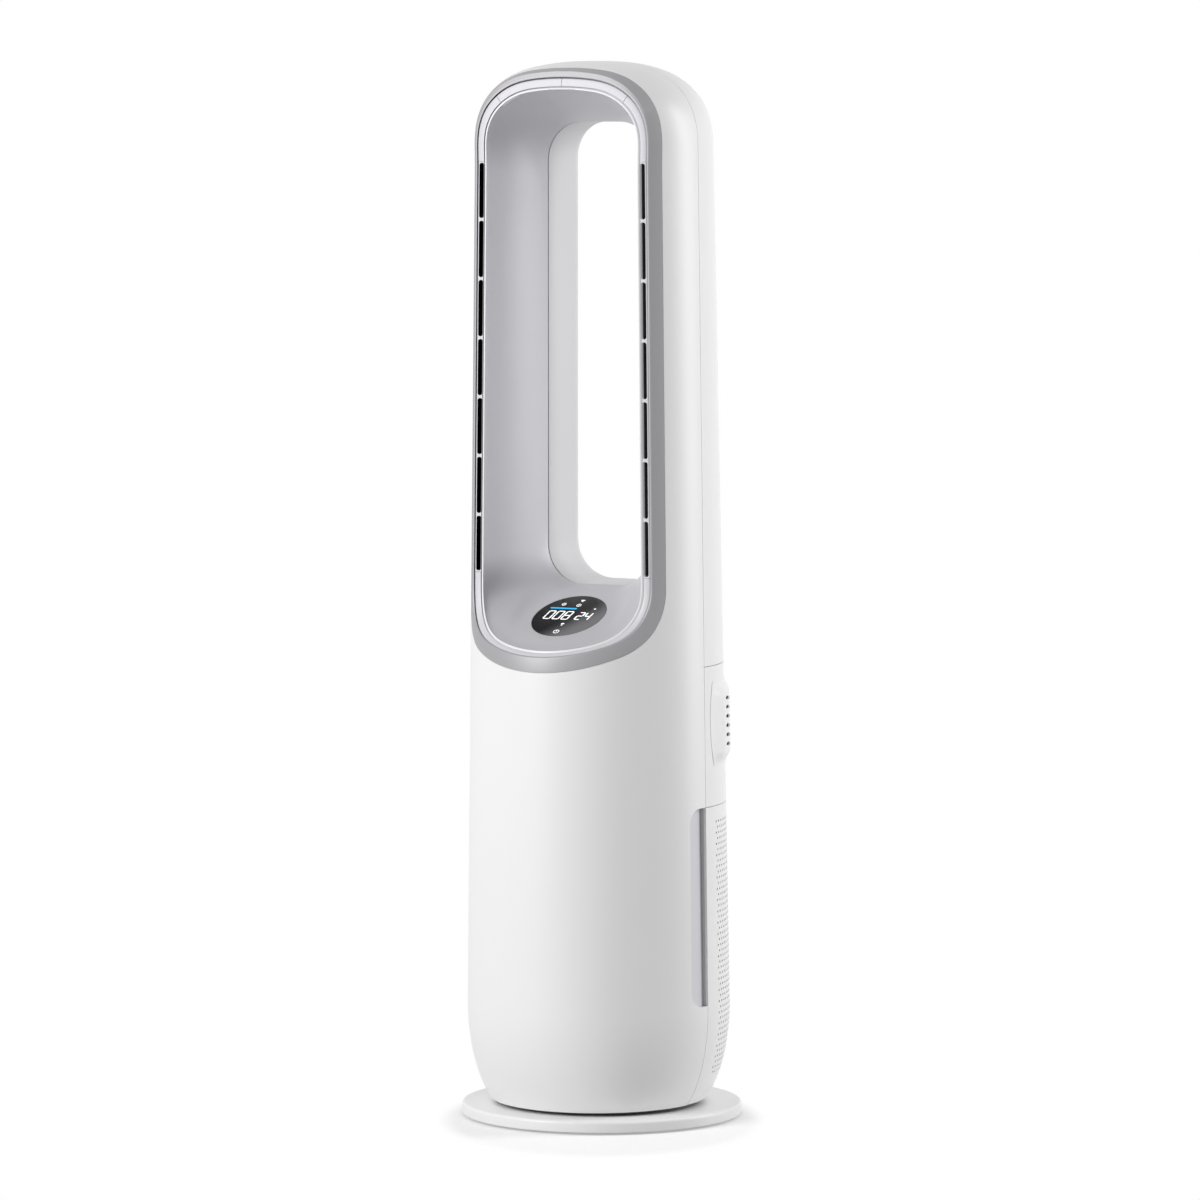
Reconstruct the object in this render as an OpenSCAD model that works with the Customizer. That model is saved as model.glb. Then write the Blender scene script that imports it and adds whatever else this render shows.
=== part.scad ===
// Bladeless tower fan: a hollow loop of moulded shells over a filter and fan module,
// turning on a weighted base disc. Origin at the middle of the base on the floor,
// +Z up, the front faces -Y.

/* [Tower] */
// Height from the floor to the top of the tower
total_h = 1050; // [960:5:1160]
// Radius of the tower just above its rounded foot
tower_r_low = 131; // [129:0.5:134]
// Radius of the tower just under its domed top
tower_r_high = 118; // [115:0.5:122]
// Forward lean of the tower's centre line, degrees
tower_lean = 0.62; // [0:0.02:0.8]
// Distance of the tower's centre line in front of the turning axis at the floor
tower_forward = 5.5; // [3:0.5:7]
// Height of the domed top
dome_h = 90; // [75:1:105]
// Wall of the moulded casings
casing_wall = 3; // [2.5:0.1:3.5]
// How far behind the turning axis plane the casings part (negative is in front)
part_line_y = -21; // [-24:0.5:-18]
// Height of the seam between the upper rear casing and the middle panel
seam_high_z = 455; // [450:1:462]
// Height of the seam between the middle panel and the filter cover
seam_low_z = 316; // [300:1:322]
// Width of the visible seams between casings
seam_gap = 0.6; // [0.4:0.1:1]

/* [Base] */
// Diameter of the base disc
base_d = 280; // [270:1:340]
// Height of the base disc's top face
base_h = 13.5; // [13:0.5:16]
// Gap between the base disc and the tower
base_gap = 2; // [1.5:0.25:3]
// Wall of the base cover
base_wall = 2.2; // [2:0.1:2.6]
// Number of rubber feet
foot_n = 5; // [4:1:8]

/* [Opening] */
// Depth of the front edge of the silver ring in front of the turning axis
ring_front_y = 84; // [80:0.5:88]
// Width of the silver ring, front to back
ring_w = 13.2; // [10:0.2:16]
// Height at which the ring starts to sweep forward
sweep_z = 534.5; // [530:0.5:545]
// Radius of that forward sweep, along the rear edge of the ring
sweep_r = 76; // [70:1:84]
// Half width of the opening at the end of the funnel
throat_x = 59.5; // [54:0.5:64]
// Lowest height of the opening
throat_low_z = 531; // [525:1:540]
// Highest height of the opening
throat_high_z = 990; // [900:1:1100]
// Corner radius of the opening
throat_r = 38; // [30:1:48]
// How far behind the turning axis the funnel liner ends (negative is in front)
throat_y = -3; // [-8:0.5:4]
// Where the rear duct starts to flare
flare_y = 50; // [40:1:56]
// Radius of the rear flare
flare_r = 38; // [30:1:44]
// Wall of the funnel liner
liner_wall = 2.4; // [2:0.1:2.6]

/* [Air outlets] */
// Top of the slotted outlets
outlet_top_z = 951; // [900:1:960]
// Bottom of the slotted outlets
outlet_low_z = 545.5; // [540:0.5:560]
// Slots on each side
outlet_n = 7; // [4:1:10]
// Bar between two slots
outlet_bar = 2.6; // [2:0.2:5]
// Depth of an outlet insert
outlet_depth = 15; // [10:0.5:18]

/* [Display] */
// Diameter of the display glass
display_d = 76; // [60:1:84]
// Distance of the display's centre in front of the turning axis
display_forward = 68.5; // [64:0.5:72]
// Slope of the display and of the sill around it, degrees
display_tilt = 27.3; // [24:0.1:30]
// Height of the display's centre
display_z = 504.1; // [502:0.1:506]
// Thickness of the display glass
display_t = 2; // [1.6:0.1:2.4]

/* [Grip recesses] */
// Top of a grip recess
grip_top_z = 316; // [290:1:316]
// Bottom of a grip recess
grip_low_z = 119; // [100:1:150]
// Front edge of a grip recess in front of the turning axis
grip_front_y = 45.5; // [40:0.5:50]
// How far the floor of a grip recess is set in from the casing
grip_in = 6.4; // [6:0.1:7]
// How far the floor of a grip recess is moved forward, which makes it a ramp
grip_ahead = 37.3; // [36:0.1:38.5]

/* [Filter] */
// Outer radius of the half-round filter
filter_r = 112; // [106:0.5:113]
// Thickness of the pleated filter
filter_t = 22; // [16:1:26]
// Number of pleats
pleat_n = 44; // [24:1:60]
// Diameter of the perforations in the filter cover
perf_d = 3.6; // [2.5:0.1:4.5]
// Height between two rows of perforations
perf_row = 24.5; // [20:0.5:40]
// Angle between two columns of perforations
perf_step = 10; // [9:0.5:15]

/* [Sensor cover] */
// Direction of the louvred sensor cover, measured from the front
sensor_angle = 122; // [115:1:130]
// Height of the middle of the sensor cover
sensor_z = 389.5; // [385:0.5:395]
// How far the cover stands off the casing
sensor_rise = 5.5; // [4.5:0.5:6.5]
// Number of louvre slots
louvre_n = 6; // [4:1:7]
// Height between two louvres
louvre_pitch = 9.2; // [8.5:0.1:10]

/* [Fan] */
// Radius of the impeller
impeller_r = 84; // [78:0.5:88]
// Number of impeller blades
blade_n = 11; // [7:1:13]
// Number of diffuser vanes
vane_n = 9; // [5:1:13]
// Diameter of the motor shaft
shaft_d = 8; // [6:0.5:10]
// Radius of the motor
motor_r = 36; // [32:0.5:38]

/* [Turning drive] */
// Teeth of the fixed ring gear
ring_teeth = 64; // [60:1:68]
// Teeth of the driving pinion
pinion_teeth = 12; // [12:1:15]
// Gear module
gear_m = 1.5; // [1.4:0.05:1.6]
// Outer radius of the hollow pivot post
pivot_r = 22; // [20:0.5:24]
// Radial play of a running fit
fit = 0.08; // [0.05:0.01:0.1]

/* [Hidden] */
white = [0.95, 0.95, 0.95];
light = [0.86, 0.86, 0.88];
silver = [0.68, 0.68, 0.7];
liner_grey = [0.73, 0.73, 0.76];
black = [0.06, 0.06, 0.07];
dark = [0.2, 0.2, 0.22];
steel = [0.6, 0.61, 0.63];
// Reach of the blocks that cut the shells, past the top of the tower
big = max(400, total_h/2);
round_fn = 120;
// Clearance between curved faces that seat on each other
seat_gap = 0.1;
// How far the filter cover's lower edge clears the ring that the tower slides on
cover_lift = 0.5;

tower_floor_z = base_h + base_gap;
dome_z = total_h - dome_h;
foot_top_z = 115;
foot_drop = 110;
foot_in = 45;
dome_n = 2.6;

// Turns its children into the leaning frame of the tower
module lean() translate([0, -tower_forward, 0]) rotate([tower_lean, 0, 0]) children();

// Tower's centre line and outer radius at height z
function axis_y(z) = -tower_forward - z*sin(tower_lean);
function tower_r(z) = tower_r_low + (tower_r_high - tower_r_low)*(z - foot_top_z)/(dome_z - foot_top_z);

// Half outline of the tower in its leaning frame, set in by `inset` all round,
// with the dome lowered by `drop` more
function outline(inset, drop = 0) = concat(
    [[0, -foot_top_z], [foot_r(foot_a, inset), -foot_top_z]],
    [for (k = [0:foot_steps]) let (a = foot_a*(1 - k/foot_steps))
        [foot_r(a, inset), foot_top_z - (foot_drop - inset)*sin(a)]],
    [for (k = [0:dome_steps]) let (a = 90*k/dome_steps)
        [(tower_r_high - inset)*pow(cos(a), 2/dome_n),
         dome_z + (dome_h - inset - drop)*pow(sin(a), 2/dome_n)]]);
function foot_r(a, inset) = tower_r_low - foot_in + (foot_in - inset)*cos(a);
foot_a = 68;
foot_steps = 9;
dome_steps = 14;

module body(inset, drop = 0) lean() rotate_extrude($fn = round_fn) polygon(outline(inset, drop));

// Nested forms that the front face's lips, slots and strips follow
module face(inset) body(inset, 2.8 + 0.4*inset);

// Half width of the tower at height z and depth y, set in by `inset`
function side_x(z, y, inset) = sqrt(pow(tower_r(z) - inset, 2) - pow(y - axis_y(z), 2));

// Everything in front of, behind or above a plane
module in_front(y) translate([-big, y - 2*big, -big]) cube([2*big, 2*big, 4*big]);
module behind(y) translate([-big, y, -big]) cube([2*big, 2*big, 4*big]);
module above(z) translate([-big, -big, z]) cube([2*big, 2*big, 4*big]);
// Everything between two heights
module storey(z0, z1) translate([-big, -big, z0]) cube([2*big, 2*big, z1 - z0]);
// A side view drawn in Y and Z, as wide as w
module side_view(w = 2*big) rotate([90, 0, 90]) linear_extrude(w, center = true) children();
// A front view drawn in X and Z, from depth y0 to y1
module front_view(y0, y1) translate([0, y1, 0]) rotate([90, 0, 0]) linear_extrude(y1 - y0) children();
// The same thing at both sides
module both_sides() {
    children();
    mirror([1, 0, 0]) children();
}
// Round pipe standing at the origin
module pipe(r_out, r_in, h) difference() {
    cylinder(h = h, r = r_out, $fn = 96);
    translate([0, 0, -1]) cylinder(h = h + 2, r = r_in, $fn = 96);
}

// Everything ahead of the front face: it stands upright beside the opening and sweeps
// forward under it. `ahead` is the distance in front of the ring's rear edge.
ring_rear_y = ring_front_y - ring_w;
sweep_a = 60;
sweep_y = -ring_rear_y - sweep_r;
function face_profile(ahead) = let (rho = sweep_r - ahead) concat(
    [[-2*big, 4*big], [-ring_rear_y - ahead, 4*big]],
    [for (a = [0:4:sweep_a]) [sweep_y + rho*cos(a), sweep_z - rho*sin(a)]],
    [[sweep_y + rho*cos(sweep_a) - big*sin(sweep_a), sweep_z - rho*sin(sweep_a) - big*cos(sweep_a)]]);
module ahead_of(ahead) side_view() polygon(face_profile(ahead));
module between(near, far) difference() {
    ahead_of(near);
    ahead_of(far);
}

// A rounded opening drawn in X and Z: half width, lowest and highest height, corner radius
corner_step = 7.5;
module opening(half, low, high, corner) polygon([for (q = [0:3], a = [0:corner_step:90])
    let (x = half - corner, z = (q < 2 ? high : low) + (q < 2 ? -corner : corner))
        [(q == 0 || q == 3 ? x : -x) + corner*cos(90*q + a), z + corner*sin(90*q + a)]]);
module throat(g = 0) opening(throat_x + g, throat_low_z - g, throat_high_z + g, throat_r + g);

// The funnel from the front face to the throat, its surface grown by g. The sill keeps
// the display's slope as far as the display's rear edge and then flattens.
crest_y = -display_forward + display_d/2*cos(display_tilt);
crest_z = display_z + display_d/2*sin(display_tilt);
crest_x = throat_x + 11;
crest_high_z = throat_high_z + 12;
module crest(g) opening(crest_x + g, crest_z - g, crest_high_z + g, throat_r + 8 + g);
module funnel(lip_inset, g) {
    hull() {
        intersection() {
            body(lip_inset, 2.8 + 0.4*lip_inset);
            between(ring_w - 0.4, ring_w);
        }
        front_view(crest_y, crest_y + 0.2) crest(g);
    }
    hull() {
        front_view(crest_y, crest_y + 0.2) crest(g);
        front_view(throat_y, throat_y + 0.2) throat(g);
    }
}

// The rear duct: straight, then flaring to the rear skin, later at its floor than at its sides
flare_late = 26;
function flare(y, start) = let (d = min(max(y - start, 0), flare_r)) flare_r - sqrt(flare_r*flare_r - d*d);
function duct_y(k) = flare_y + [0, 20, 36, 50, 66][k];
module duct_slab(y, g) front_view(y, y + 0.2)
    opening(throat_x + flare(y, flare_y) + g, throat_low_z - flare(y, flare_y + flare_late) - g,
        throat_high_z + flare(y, flare_y) + g, throat_r + g);
module duct(g, steps) {
    front_view(throat_y + seam_gap/2, flare_y + 0.1) throat(g);
    for (k = [1:steps])
        hull() {
            duct_slab(duct_y(k - 1), g);
            duct_slab(duct_y(k), g);
        }
}

// ---- Base -----------------------------------------------------------------------------

foot_h = 2;
plate_t = 2;
plate_top_z = foot_h + plate_t;
base_screw_r = base_d/2 - 10;
base_screw_n = 6;
screw_r = 1.25;
hub_r = pivot_r + 5;
pivot_bore_r = pivot_r - 6;
pivot_neck_r = pivot_r - 3;
hub_low_z = 6.5;
pivot_shoulder_z = 30;
gear_z = 4;
gear_h = 6;
ring_pitch_r = ring_teeth*gear_m/2;
pinion_pitch_r = pinion_teeth*gear_m/2;
pinion_y = ring_pitch_r - pinion_pitch_r;
cord_z = 6.6;

module round_the_base(n, r, turn = 0) for (k = [0:n - 1])
    rotate([0, 0, 360*k/n + turn]) translate([r, 0, 0]) children();

module base_plate() color(steel) difference() {
    translate([0, 0, foot_h]) cylinder(h = plate_t, r = base_d/2 - base_wall - 0.2, $fn = 96);
    round_the_base(base_screw_n, base_screw_r) cylinder(h = 9, r = screw_r + 0.05, $fn = 24);
    translate([-5, base_d/2 - 16, 0]) cube([10, 20, 9]);
}

module rubber_feet() color(dark)
    round_the_base(foot_n, base_d/2 - 28, 90) cylinder(h = foot_h, r = 11, $fn = 48);

module ballast_ring() color(steel) translate([0, 0, plate_top_z]) pipe(base_d/2 - 18, 72, 4.5);

edge_r = 3;
module base_cover() color(white) {
    difference() {
        rotate_extrude($fn = round_fn) difference() {
            union() {
                translate([60, foot_h]) square([base_d/2 - 60, base_h - foot_h - edge_r]);
                translate([60, foot_h]) square([base_d/2 - 60 - edge_r, base_h - foot_h]);
                translate([base_d/2 - edge_r, base_h - edge_r]) circle(edge_r, $fn = 48);
            }
            translate([0, -1]) square([base_d/2 - base_wall, base_h - base_wall + 1]);
        }
        translate([0, base_d/2 + 5, cord_z]) rotate([90, 0, 0]) cylinder(h = 20, r = 4.25, $fn = 48);
    }
    round_the_base(base_screw_n, base_screw_r) difference() {
        translate([0, 0, plate_top_z]) cylinder(h = base_h - 1 - plate_top_z, r = 3.6, $fn = 32);
        translate([0, 0, plate_top_z - 1]) cylinder(h = 6.7, r = screw_r + 0.05, $fn = 24);
    }
}

// Involute gear outline: `inside` and `outside` are its root and tip radii, `slack` is
// taken off each flank
function involute(a) = tan(a) - a*PI/180;
function tooth_half(n, r, slack) = let (base_r = n*gear_m*cos(20)/2)
    90/n + (involute(20) - involute(acos(min(1, base_r/r))) - slack/r)*180/PI;
module gear(n, inside, outside, slack) {
    levels = [for (k = [0:4]) inside + (outside - inside)*k/4];
    polygon([for (t = [0:n - 1], s = [-1, 1], k = [0:4])
        let (r = levels[s < 0 ? k : 4 - k], a = 90 + 360*t/n + s*tooth_half(n, r, slack))
            [r*cos(a), r*sin(a)]]);
}

module ring_gear() color(dark) translate([0, 0, gear_z]) difference() {
    cylinder(h = gear_h, r = ring_pitch_r + 8, $fn = 96);
    translate([0, 0, -1]) linear_extrude(gear_h + 2)
        gear(ring_teeth, ring_pitch_r - 0.55*gear_m, ring_pitch_r + 1.25*gear_m, -0.06);
}

module pivot_post() color(steel) translate([0, 0, plate_top_z]) {
    pipe(pivot_r + 5, pivot_bore_r, 2);
    pipe(pivot_r, pivot_bore_r, pivot_shoulder_z - plate_top_z);
    pipe(pivot_neck_r, pivot_bore_r, pivot_shoulder_z + 6 - plate_top_z);
}

module pivot_retainer() color(dark)
    translate([0, 0, pivot_shoulder_z]) pipe(hub_r + 1, pivot_neck_r + 0.05, 3);

module slide_ring() color(dark) translate([0, 0, base_h]) pipe(94, 84, base_gap);

// Pan-head screw: its head starts at the origin and its shank runs up
module screw(length, r = screw_r) {
    translate([0, 0, -1.2]) cylinder(h = 1.2, r = 2*r + 0.3, $fn = 32);
    cylinder(h = length, r = r, $fn = 24);
}
module base_screws() color(steel)
    round_the_base(base_screw_n, base_screw_r) translate([0, 0, foot_h]) screw(7);

module cord_gland() color(dark) translate([0, base_d/2 - 14, cord_z]) rotate([-90, 0, 0]) {
    pipe(4.2, 3, 14);
    translate([0, 0, 9.5]) pipe(4.6, 3, 2);
}

// ---- Tower: floor, frame and drive -------------------------------------------------------

floor_t = 3;
floor_top_z = tower_floor_z + floor_t;
deck_z = 313;
deck_t = 3;
deck_top_z = deck_z + deck_t;
fan_y = -8;
frame_x = 90;
frame_y = -80;
frame_t = 3;
post_x = 104;
post_y = -14;
board_y = -112;
board_t = 1.6;
stepper_off = 9;
filter_low_z = 38;
filter_high_z = 311;
filter_in = filter_r - filter_t;

module turntable() color(dark) {
    difference() {
        translate([0, axis_y(tower_floor_z), tower_floor_z]) cylinder(h = floor_t, r = 100.5, $fn = 96);
        cylinder(h = big, r = hub_r - 1, $fn = 96);
        translate([0, pinion_y, 0]) cylinder(h = big, r = 4.6, $fn = 48);
    }
    translate([0, 0, hub_low_z]) pipe(hub_r, pivot_r + fit, pivot_shoulder_z - 0.2 - hub_low_z);
}

module frame_wall(g) polygon([[-frame_x - g, frame_y - g], [frame_x + g, frame_y - g], [post_x + g, post_y],
    [post_x + g, 4], [-post_x - g, 4], [-post_x - g, post_y]]);
module fan_deck() color(light) intersection() {
    body(5);
    difference() {
        translate([0, 0, deck_z]) cylinder(h = deck_t, r = 140, $fn = 96);
        translate([0, fan_y, 0]) cylinder(h = big, r = 66, $fn = 96);
        both_sides() translate([post_x + frame_t + 0.5, -grip_front_y - 4, 0])
            cube([big, grip_front_y + part_line_y + 6, big]);
    }
}
module chassis() color(light) {
    intersection() {
        body(8);
        translate([0, 0, floor_top_z]) linear_extrude(deck_z - floor_top_z) difference() {
            frame_wall(frame_t);
            frame_wall(0);
            translate([-post_x, 0]) square([2*post_x, 10]);
        }
    }
    // Shelf that the filter stands on, with its webs
    translate([0, fan_y, filter_low_z - 4]) difference() {
        pipe(filter_r - 2, filter_in - 4, 3.7);
        translate([-big, 24 - 2*big, -1]) cube([2*big, 2*big, 6]);
    }
    for (a = [20, 90, 160])
        translate([0, fan_y, floor_top_z]) rotate([0, 0, a])
            translate([filter_in - 4, -1.5, 0]) cube([10, 3, filter_low_z - 3 - floor_top_z]);
    both_sides() for (z = [70, 240])
        translate([40, frame_y + 1, z]) rotate([90, 0, 0])
            pipe(3.5, screw_r, frame_y + 1 - board_y - board_t);
}

module stepper_motor() color(steel) translate([0, pinion_y, floor_top_z]) {
    difference() {
        union() {
            translate([0, stepper_off, 0]) cylinder(h = 19, r = 16, $fn = 64);
            translate([-21, stepper_off - 4, 0]) cube([42, 8, 1.2]);
            translate([0, 0, -1.5]) cylinder(h = 3, r = 4.5, $fn = 48);
        }
        translate([0, 0, -5]) cylinder(h = 15.2, r = 2.5 + fit, $fn = 48);
        both_sides() translate([18, stepper_off, -1]) cylinder(h = 4, r = 1.5, $fn = 24);
    }
}

module drive_pinion() color(light) translate([0, pinion_y, gear_z + 0.5]) {
    linear_extrude(gear_h - 0.7) gear(pinion_teeth, 0.78*pinion_pitch_r, pinion_pitch_r + 0.8*gear_m, 0.06);
    cylinder(h = floor_top_z + 9.5 - gear_z, r = 2.5, $fn = 48);
}

module main_board() color([0.1, 0.35, 0.2]) translate([-50, board_y, 60]) difference() {
    cube([100, board_t, 190]);
    for (x = [10, 90], z = [10, 180])
        translate([x, 5, z]) rotate([90, 0, 0]) cylinder(h = 10, r = 1.6, $fn = 24);
}

module board_parts() color(dark) translate([0, board_y, 0]) {
    translate([-34, -11, 196]) cube([26, 11, 24]);
    translate([4, -12, 190]) cube([30, 12, 8]);
    for (x = [8, 18, 28])
        translate([x, 0, 214]) rotate([90, 0, 0]) cylinder(h = 12, r = 4, $fn = 32);
    translate([-12, -3, 130]) cube([22, 3, 22]);
    for (z = [86, 104, 122, 140])
        translate([-42, -7, z]) cube([14, 7, 12]);
    for (x = [14, 26, 38])
        translate([x - 4, -6, 76]) cube([9, 6, 14]);
}

// ---- Tower: casings ----------------------------------------------------------------------

module skin(low, high) intersection() {
    difference() {
        body(0);
        body(casing_wall);
    }
    storey(low, high);
}
module ledge(z, h, depth) intersection() {
    difference() {
        body(casing_wall - 0.2);
        body(casing_wall + depth);
    }
    storey(z, z + h);
}

grip_corner = 15;
// Side outline of a grip recess, open towards the rear, grown by g
module grip_view(g = 0) side_view() offset(g) polygon(concat(
    [[-part_gap_y, grip_low_z], [-part_gap_y, grip_top_z]],
    [for (a = [0:15:90]) [-grip_front_y + grip_corner*(1 - sin(a)), grip_top_z - grip_corner*(1 - cos(a))]],
    [for (a = [90:15:180])
        [-grip_front_y + grip_corner*(1 - sin(a)), grip_low_z + grip_corner*(1 + cos(a))]]));
part_gap_y = -part_line_y;

boss_zs = [600, 720, 840];
module side_bosses(y0, y1, r) for (z = boss_zs)
    translate([side_x(z, part_line_y, casing_wall + 3), y1, z])
        rotate([90, 0, 0]) cylinder(h = y1 - y0, r = r, $fn = 32);

module front_casing() color(white) {
    difference() {
        skin(tower_floor_z, total_h);
        behind(part_line_y);
        ahead_of(0);
        grip_view();
    }
    difference() {
        union() {
            ledge(deck_z - 3.3, 3, 4);
            ledge(floor_top_z + 0.3, 2.5, 4);
        }
        behind(-grip_front_y - 4);
    }
    both_sides() difference() {
        side_bosses(part_line_y - 12, part_line_y, 4);
        side_bosses(part_line_y - 10, part_line_y + 1, screw_r + 0.05);
    }
}

module rear_duct() color(white) difference() {
    intersection() {
        body(casing_wall + seat_gap);
        duct(liner_wall, 3);
    }
    duct(0, 4);
}
module rear_casing() color(white) {
    difference() {
        skin(seam_high_z + seam_gap/2, total_h);
        in_front(part_line_y + seam_gap);
        duct(0, 4);
    }
    both_sides() difference() {
        side_bosses(part_line_y + seam_gap, part_line_y + 12, 4);
        side_bosses(part_line_y, part_line_y + 13, screw_r + 0.05);
    }
}

module casing_screws() color(steel) both_sides() for (z = boss_zs)
    translate([side_x(z, part_line_y, casing_wall + 3), part_line_y + 12, z]) rotate([90, 0, 0]) screw(21);

// Local frame of the sensor cover: X outward, Z up, origin on the skin
module at_sensor() translate([0, axis_y(sensor_z), sensor_z]) rotate([0, 0, sensor_angle - 90])
    translate([tower_r(sensor_z), 0, 0]) children();

module middle_panel() color(white) {
    difference() {
        skin(seam_low_z + seam_gap/2, seam_high_z - seam_gap/2);
        in_front(part_line_y + seam_gap);
        at_sensor() translate([-10, -14, -24]) cube([20, 28, 48]);
    }
    difference() {
        ledge(seam_low_z + seam_gap/2, 3, 5);
        in_front(part_line_y + 10);
    }
}

module particle_sensor() color(dark) at_sensor() difference() {
    translate([-15 - casing_wall, -16, -28]) cube([13, 32, 56]);
    translate([-7 - casing_wall, 0, 6]) rotate([0, 90, 0]) cylinder(h = 10, r = 6, $fn = 48);
}

module plate_at(d, wide, high) translate([d - 0.5, 0, 0]) rotate([90, 0, 90])
    linear_extrude(0.5) offset(9, $fn = 32) square([wide - 18, high - 18], center = true);
louvre_h = 3.4;
module hump(shrink) intersection() {
    body(shrink - sensor_rise);
    at_sensor() hull() {
        plate_at(-20, 138 - 2*shrink, 88 - 2*shrink);
        plate_at(-shrink, 67 - 2*shrink, 88 - 2*shrink);
        plate_at(sensor_rise + 1 - shrink, 46 - 2*shrink, 60 - 2*shrink);
    }
}
module sensor_cover() color(white) difference() {
    hump(0);
    hump(2);
    at_sensor() for (k = [0:louvre_n - 1])
        translate([0, -20, louvre_pitch*(k - (louvre_n - 1)/2) - louvre_h/2]) cube([20, 40, louvre_h]);
    body(-0.3);
}

// Heights of the lowest row of perforations and of the highest that there is room for
perf_low_z = 40;
perf_high_z = seam_low_z - 31;
module filter_cover() color(white) {
    difference() {
        skin(tower_floor_z + cover_lift, seam_low_z - seam_gap/2);
        in_front(part_line_y + seam_gap);
        for (row = [0:floor((perf_high_z - perf_low_z)/perf_row)])
            translate([0, axis_y(150), perf_low_z + row*perf_row])
                for (a = [perf_step/2*(row % 2):perf_step:180])
                    rotate([0, 90, a]) translate([0, 0, 80]) cylinder(h = 60, r = perf_d/2, $fn = 16);
    }
    intersection() {
        difference() {
            body(casing_wall - 0.2);
            body(14);
        }
        translate([-big, part_line_y + seam_gap, grip_low_z]) cube([2*big, 2.4, deck_z - 0.4 - grip_low_z]);
    }
}

module grip_ramp(inset) translate([-grip_in, -grip_ahead, 0]) body(inset);

module grip_liner() color(light) intersection() {
    difference() {
        union() {
            intersection() {
                body(0);
                grip_view(-0.1);
            }
            intersection() {
                body(casing_wall + seat_gap);
                grip_view(2);
            }
        }
        grip_ramp(5);
        difference() {
            grip_view();
            grip_ramp(0);
        }
    }
    in_front(part_line_y - 0.1);
    translate([0, -big, 0]) cube(2*big);
}
module grip_liner_right() grip_liner();
module grip_liner_left() mirror([1, 0, 0]) grip_liner();

// ---- Front face ---------------------------------------------------------------------------

// Insets from the tower's outline: the ring, the band of outlets and the funnel's lip
// are nested inside the casing's wall
ring_wall = casing_wall - 0.4;
band_in = casing_wall + 0.2;
band_out = band_in + 4.5;
lip_in = band_out + 0.3;
lip_out = lip_in + liner_wall;
band_back = 0.6;

module ring_trim() color(silver) intersection() {
    difference() {
        body(0);
        face(ring_wall);
    }
    between(seam_gap/2, ring_w);
}

module band(depth, inside = band_in, outside = band_out) intersection() {
    difference() {
        face(inside);
        face(outside);
    }
    between(ring_w - band_back - depth, ring_w - band_back);
}
module filler_top() color(light) intersection() {
    band(4);
    above(outlet_top_z + 0.2);
}
module filler_bottom() color(light) intersection() {
    band(4);
    storey(0, outlet_low_z - 0.2);
}
module outlet() color(dark) difference() {
    intersection() {
        band(outlet_depth);
        storey(outlet_low_z, outlet_top_z);
        translate([0, -big, 0]) cube([big, 2*big, 4*big]);
    }
    intersection() {
        band(2*outlet_depth, band_in + 0.8, band_out - 0.8);
        for (k = [0:outlet_n - 1])
            let (pitch = (outlet_top_z - outlet_low_z + outlet_bar)/outlet_n)
                storey(outlet_low_z + k*pitch + 0.01, outlet_low_z + (k + 1)*pitch - outlet_bar);
    }
}
module outlet_right() outlet();
module outlet_left() mirror([1, 0, 0]) outlet();

// Local frame of the display: Z out of the glass
module at_display() translate([0, -display_forward, display_z]) rotate([display_tilt, 0, 0]) children();

module duct_liner() color(liner_grey) {
    difference() {
        funnel(lip_in, liner_wall);
        funnel(lip_out, 0);
        ahead_of(ring_w);
        at_display() translate([0, 0, -8]) cylinder(h = 20, r = display_d/2 + 0.15, $fn = 96);
    }
    at_display() translate([0, 0, -6]) pipe(display_d/2 + 3, display_d/2 - 3, 6 - display_t);
}

module display_glass() color(black) at_display()
    translate([0, 0, -display_t]) cylinder(h = display_t, r = display_d/2, $fn = 96);

module display_board() color([0.1, 0.35, 0.2]) at_display() {
    translate([0, 0, -7.6]) cylinder(h = board_t, r = display_d/2 - 4, $fn = 64);
    translate([0, 0, -6]) pipe(display_d/2 - 4, display_d/2 - 6, 6 - display_t);
}

// ---- Fan ------------------------------------------------------------------------------------

eye_r = 60;
rotor_low_z = 336;
rotor_high_z = 391;
shaft_r = shaft_d/2;
cup_r = 48;
stator_low_z = 396;
stator_high_z = 440;
// Radial room for the air between the impeller and its housing
housing_room = 13;
housing_r = impeller_r + housing_room;
housing_wall = 2.5;
housing_top_z = 452;
motor_low_z = 400;

// Quarter of an ellipse from [r0, z0], where it is upright, to [r1, z1], where it lies flat
function sweep_up(r0, z0, r1, z1, n = 8) = [for (k = [0:n]) let (a = 90*k/n)
    [r0 + (r1 - r0)*(1 - cos(a)), z0 + (z1 - z0)*sin(a)]];
function reverse(list) = [for (k = [len(list) - 1:-1:0]) list[k]];

module at_fan() translate([0, fan_y, 0]) children();

module inlet_bell() color(light) at_fan() rotate_extrude($fn = 96)
    polygon(concat([[86, deck_top_z]], [[86, deck_top_z + 2]],
        reverse(sweep_up(eye_r - 3, rotor_low_z + 4, 74, deck_top_z + 2)),
        sweep_up(eye_r - 5, rotor_low_z + 4, 68, deck_top_z)));

module fan_housing() color(light) at_fan() translate([0, 0, deck_top_z]) difference() {
    union() {
        pipe(housing_r + housing_wall, housing_r, housing_top_z - deck_top_z);
        pipe(housing_r + 10, housing_r, 3);
    }
    fan_screw_places() cylinder(h = 20, r = 1.55, center = true, $fn = 24);
}
module fan_screw_places() for (k = [0:5])
    rotate([0, 0, 60*k + 30]) translate([housing_r + 6, 0, 0]) children();
module fan_screws() color(steel) at_fan() translate([0, 0, deck_top_z + 3]) fan_screw_places() {
    cylinder(h = 1.6, r = 3, $fn = 32);
    translate([0, 0, -3]) cylinder(h = 3.5, r = 1.5, $fn = 24);
}

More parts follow.
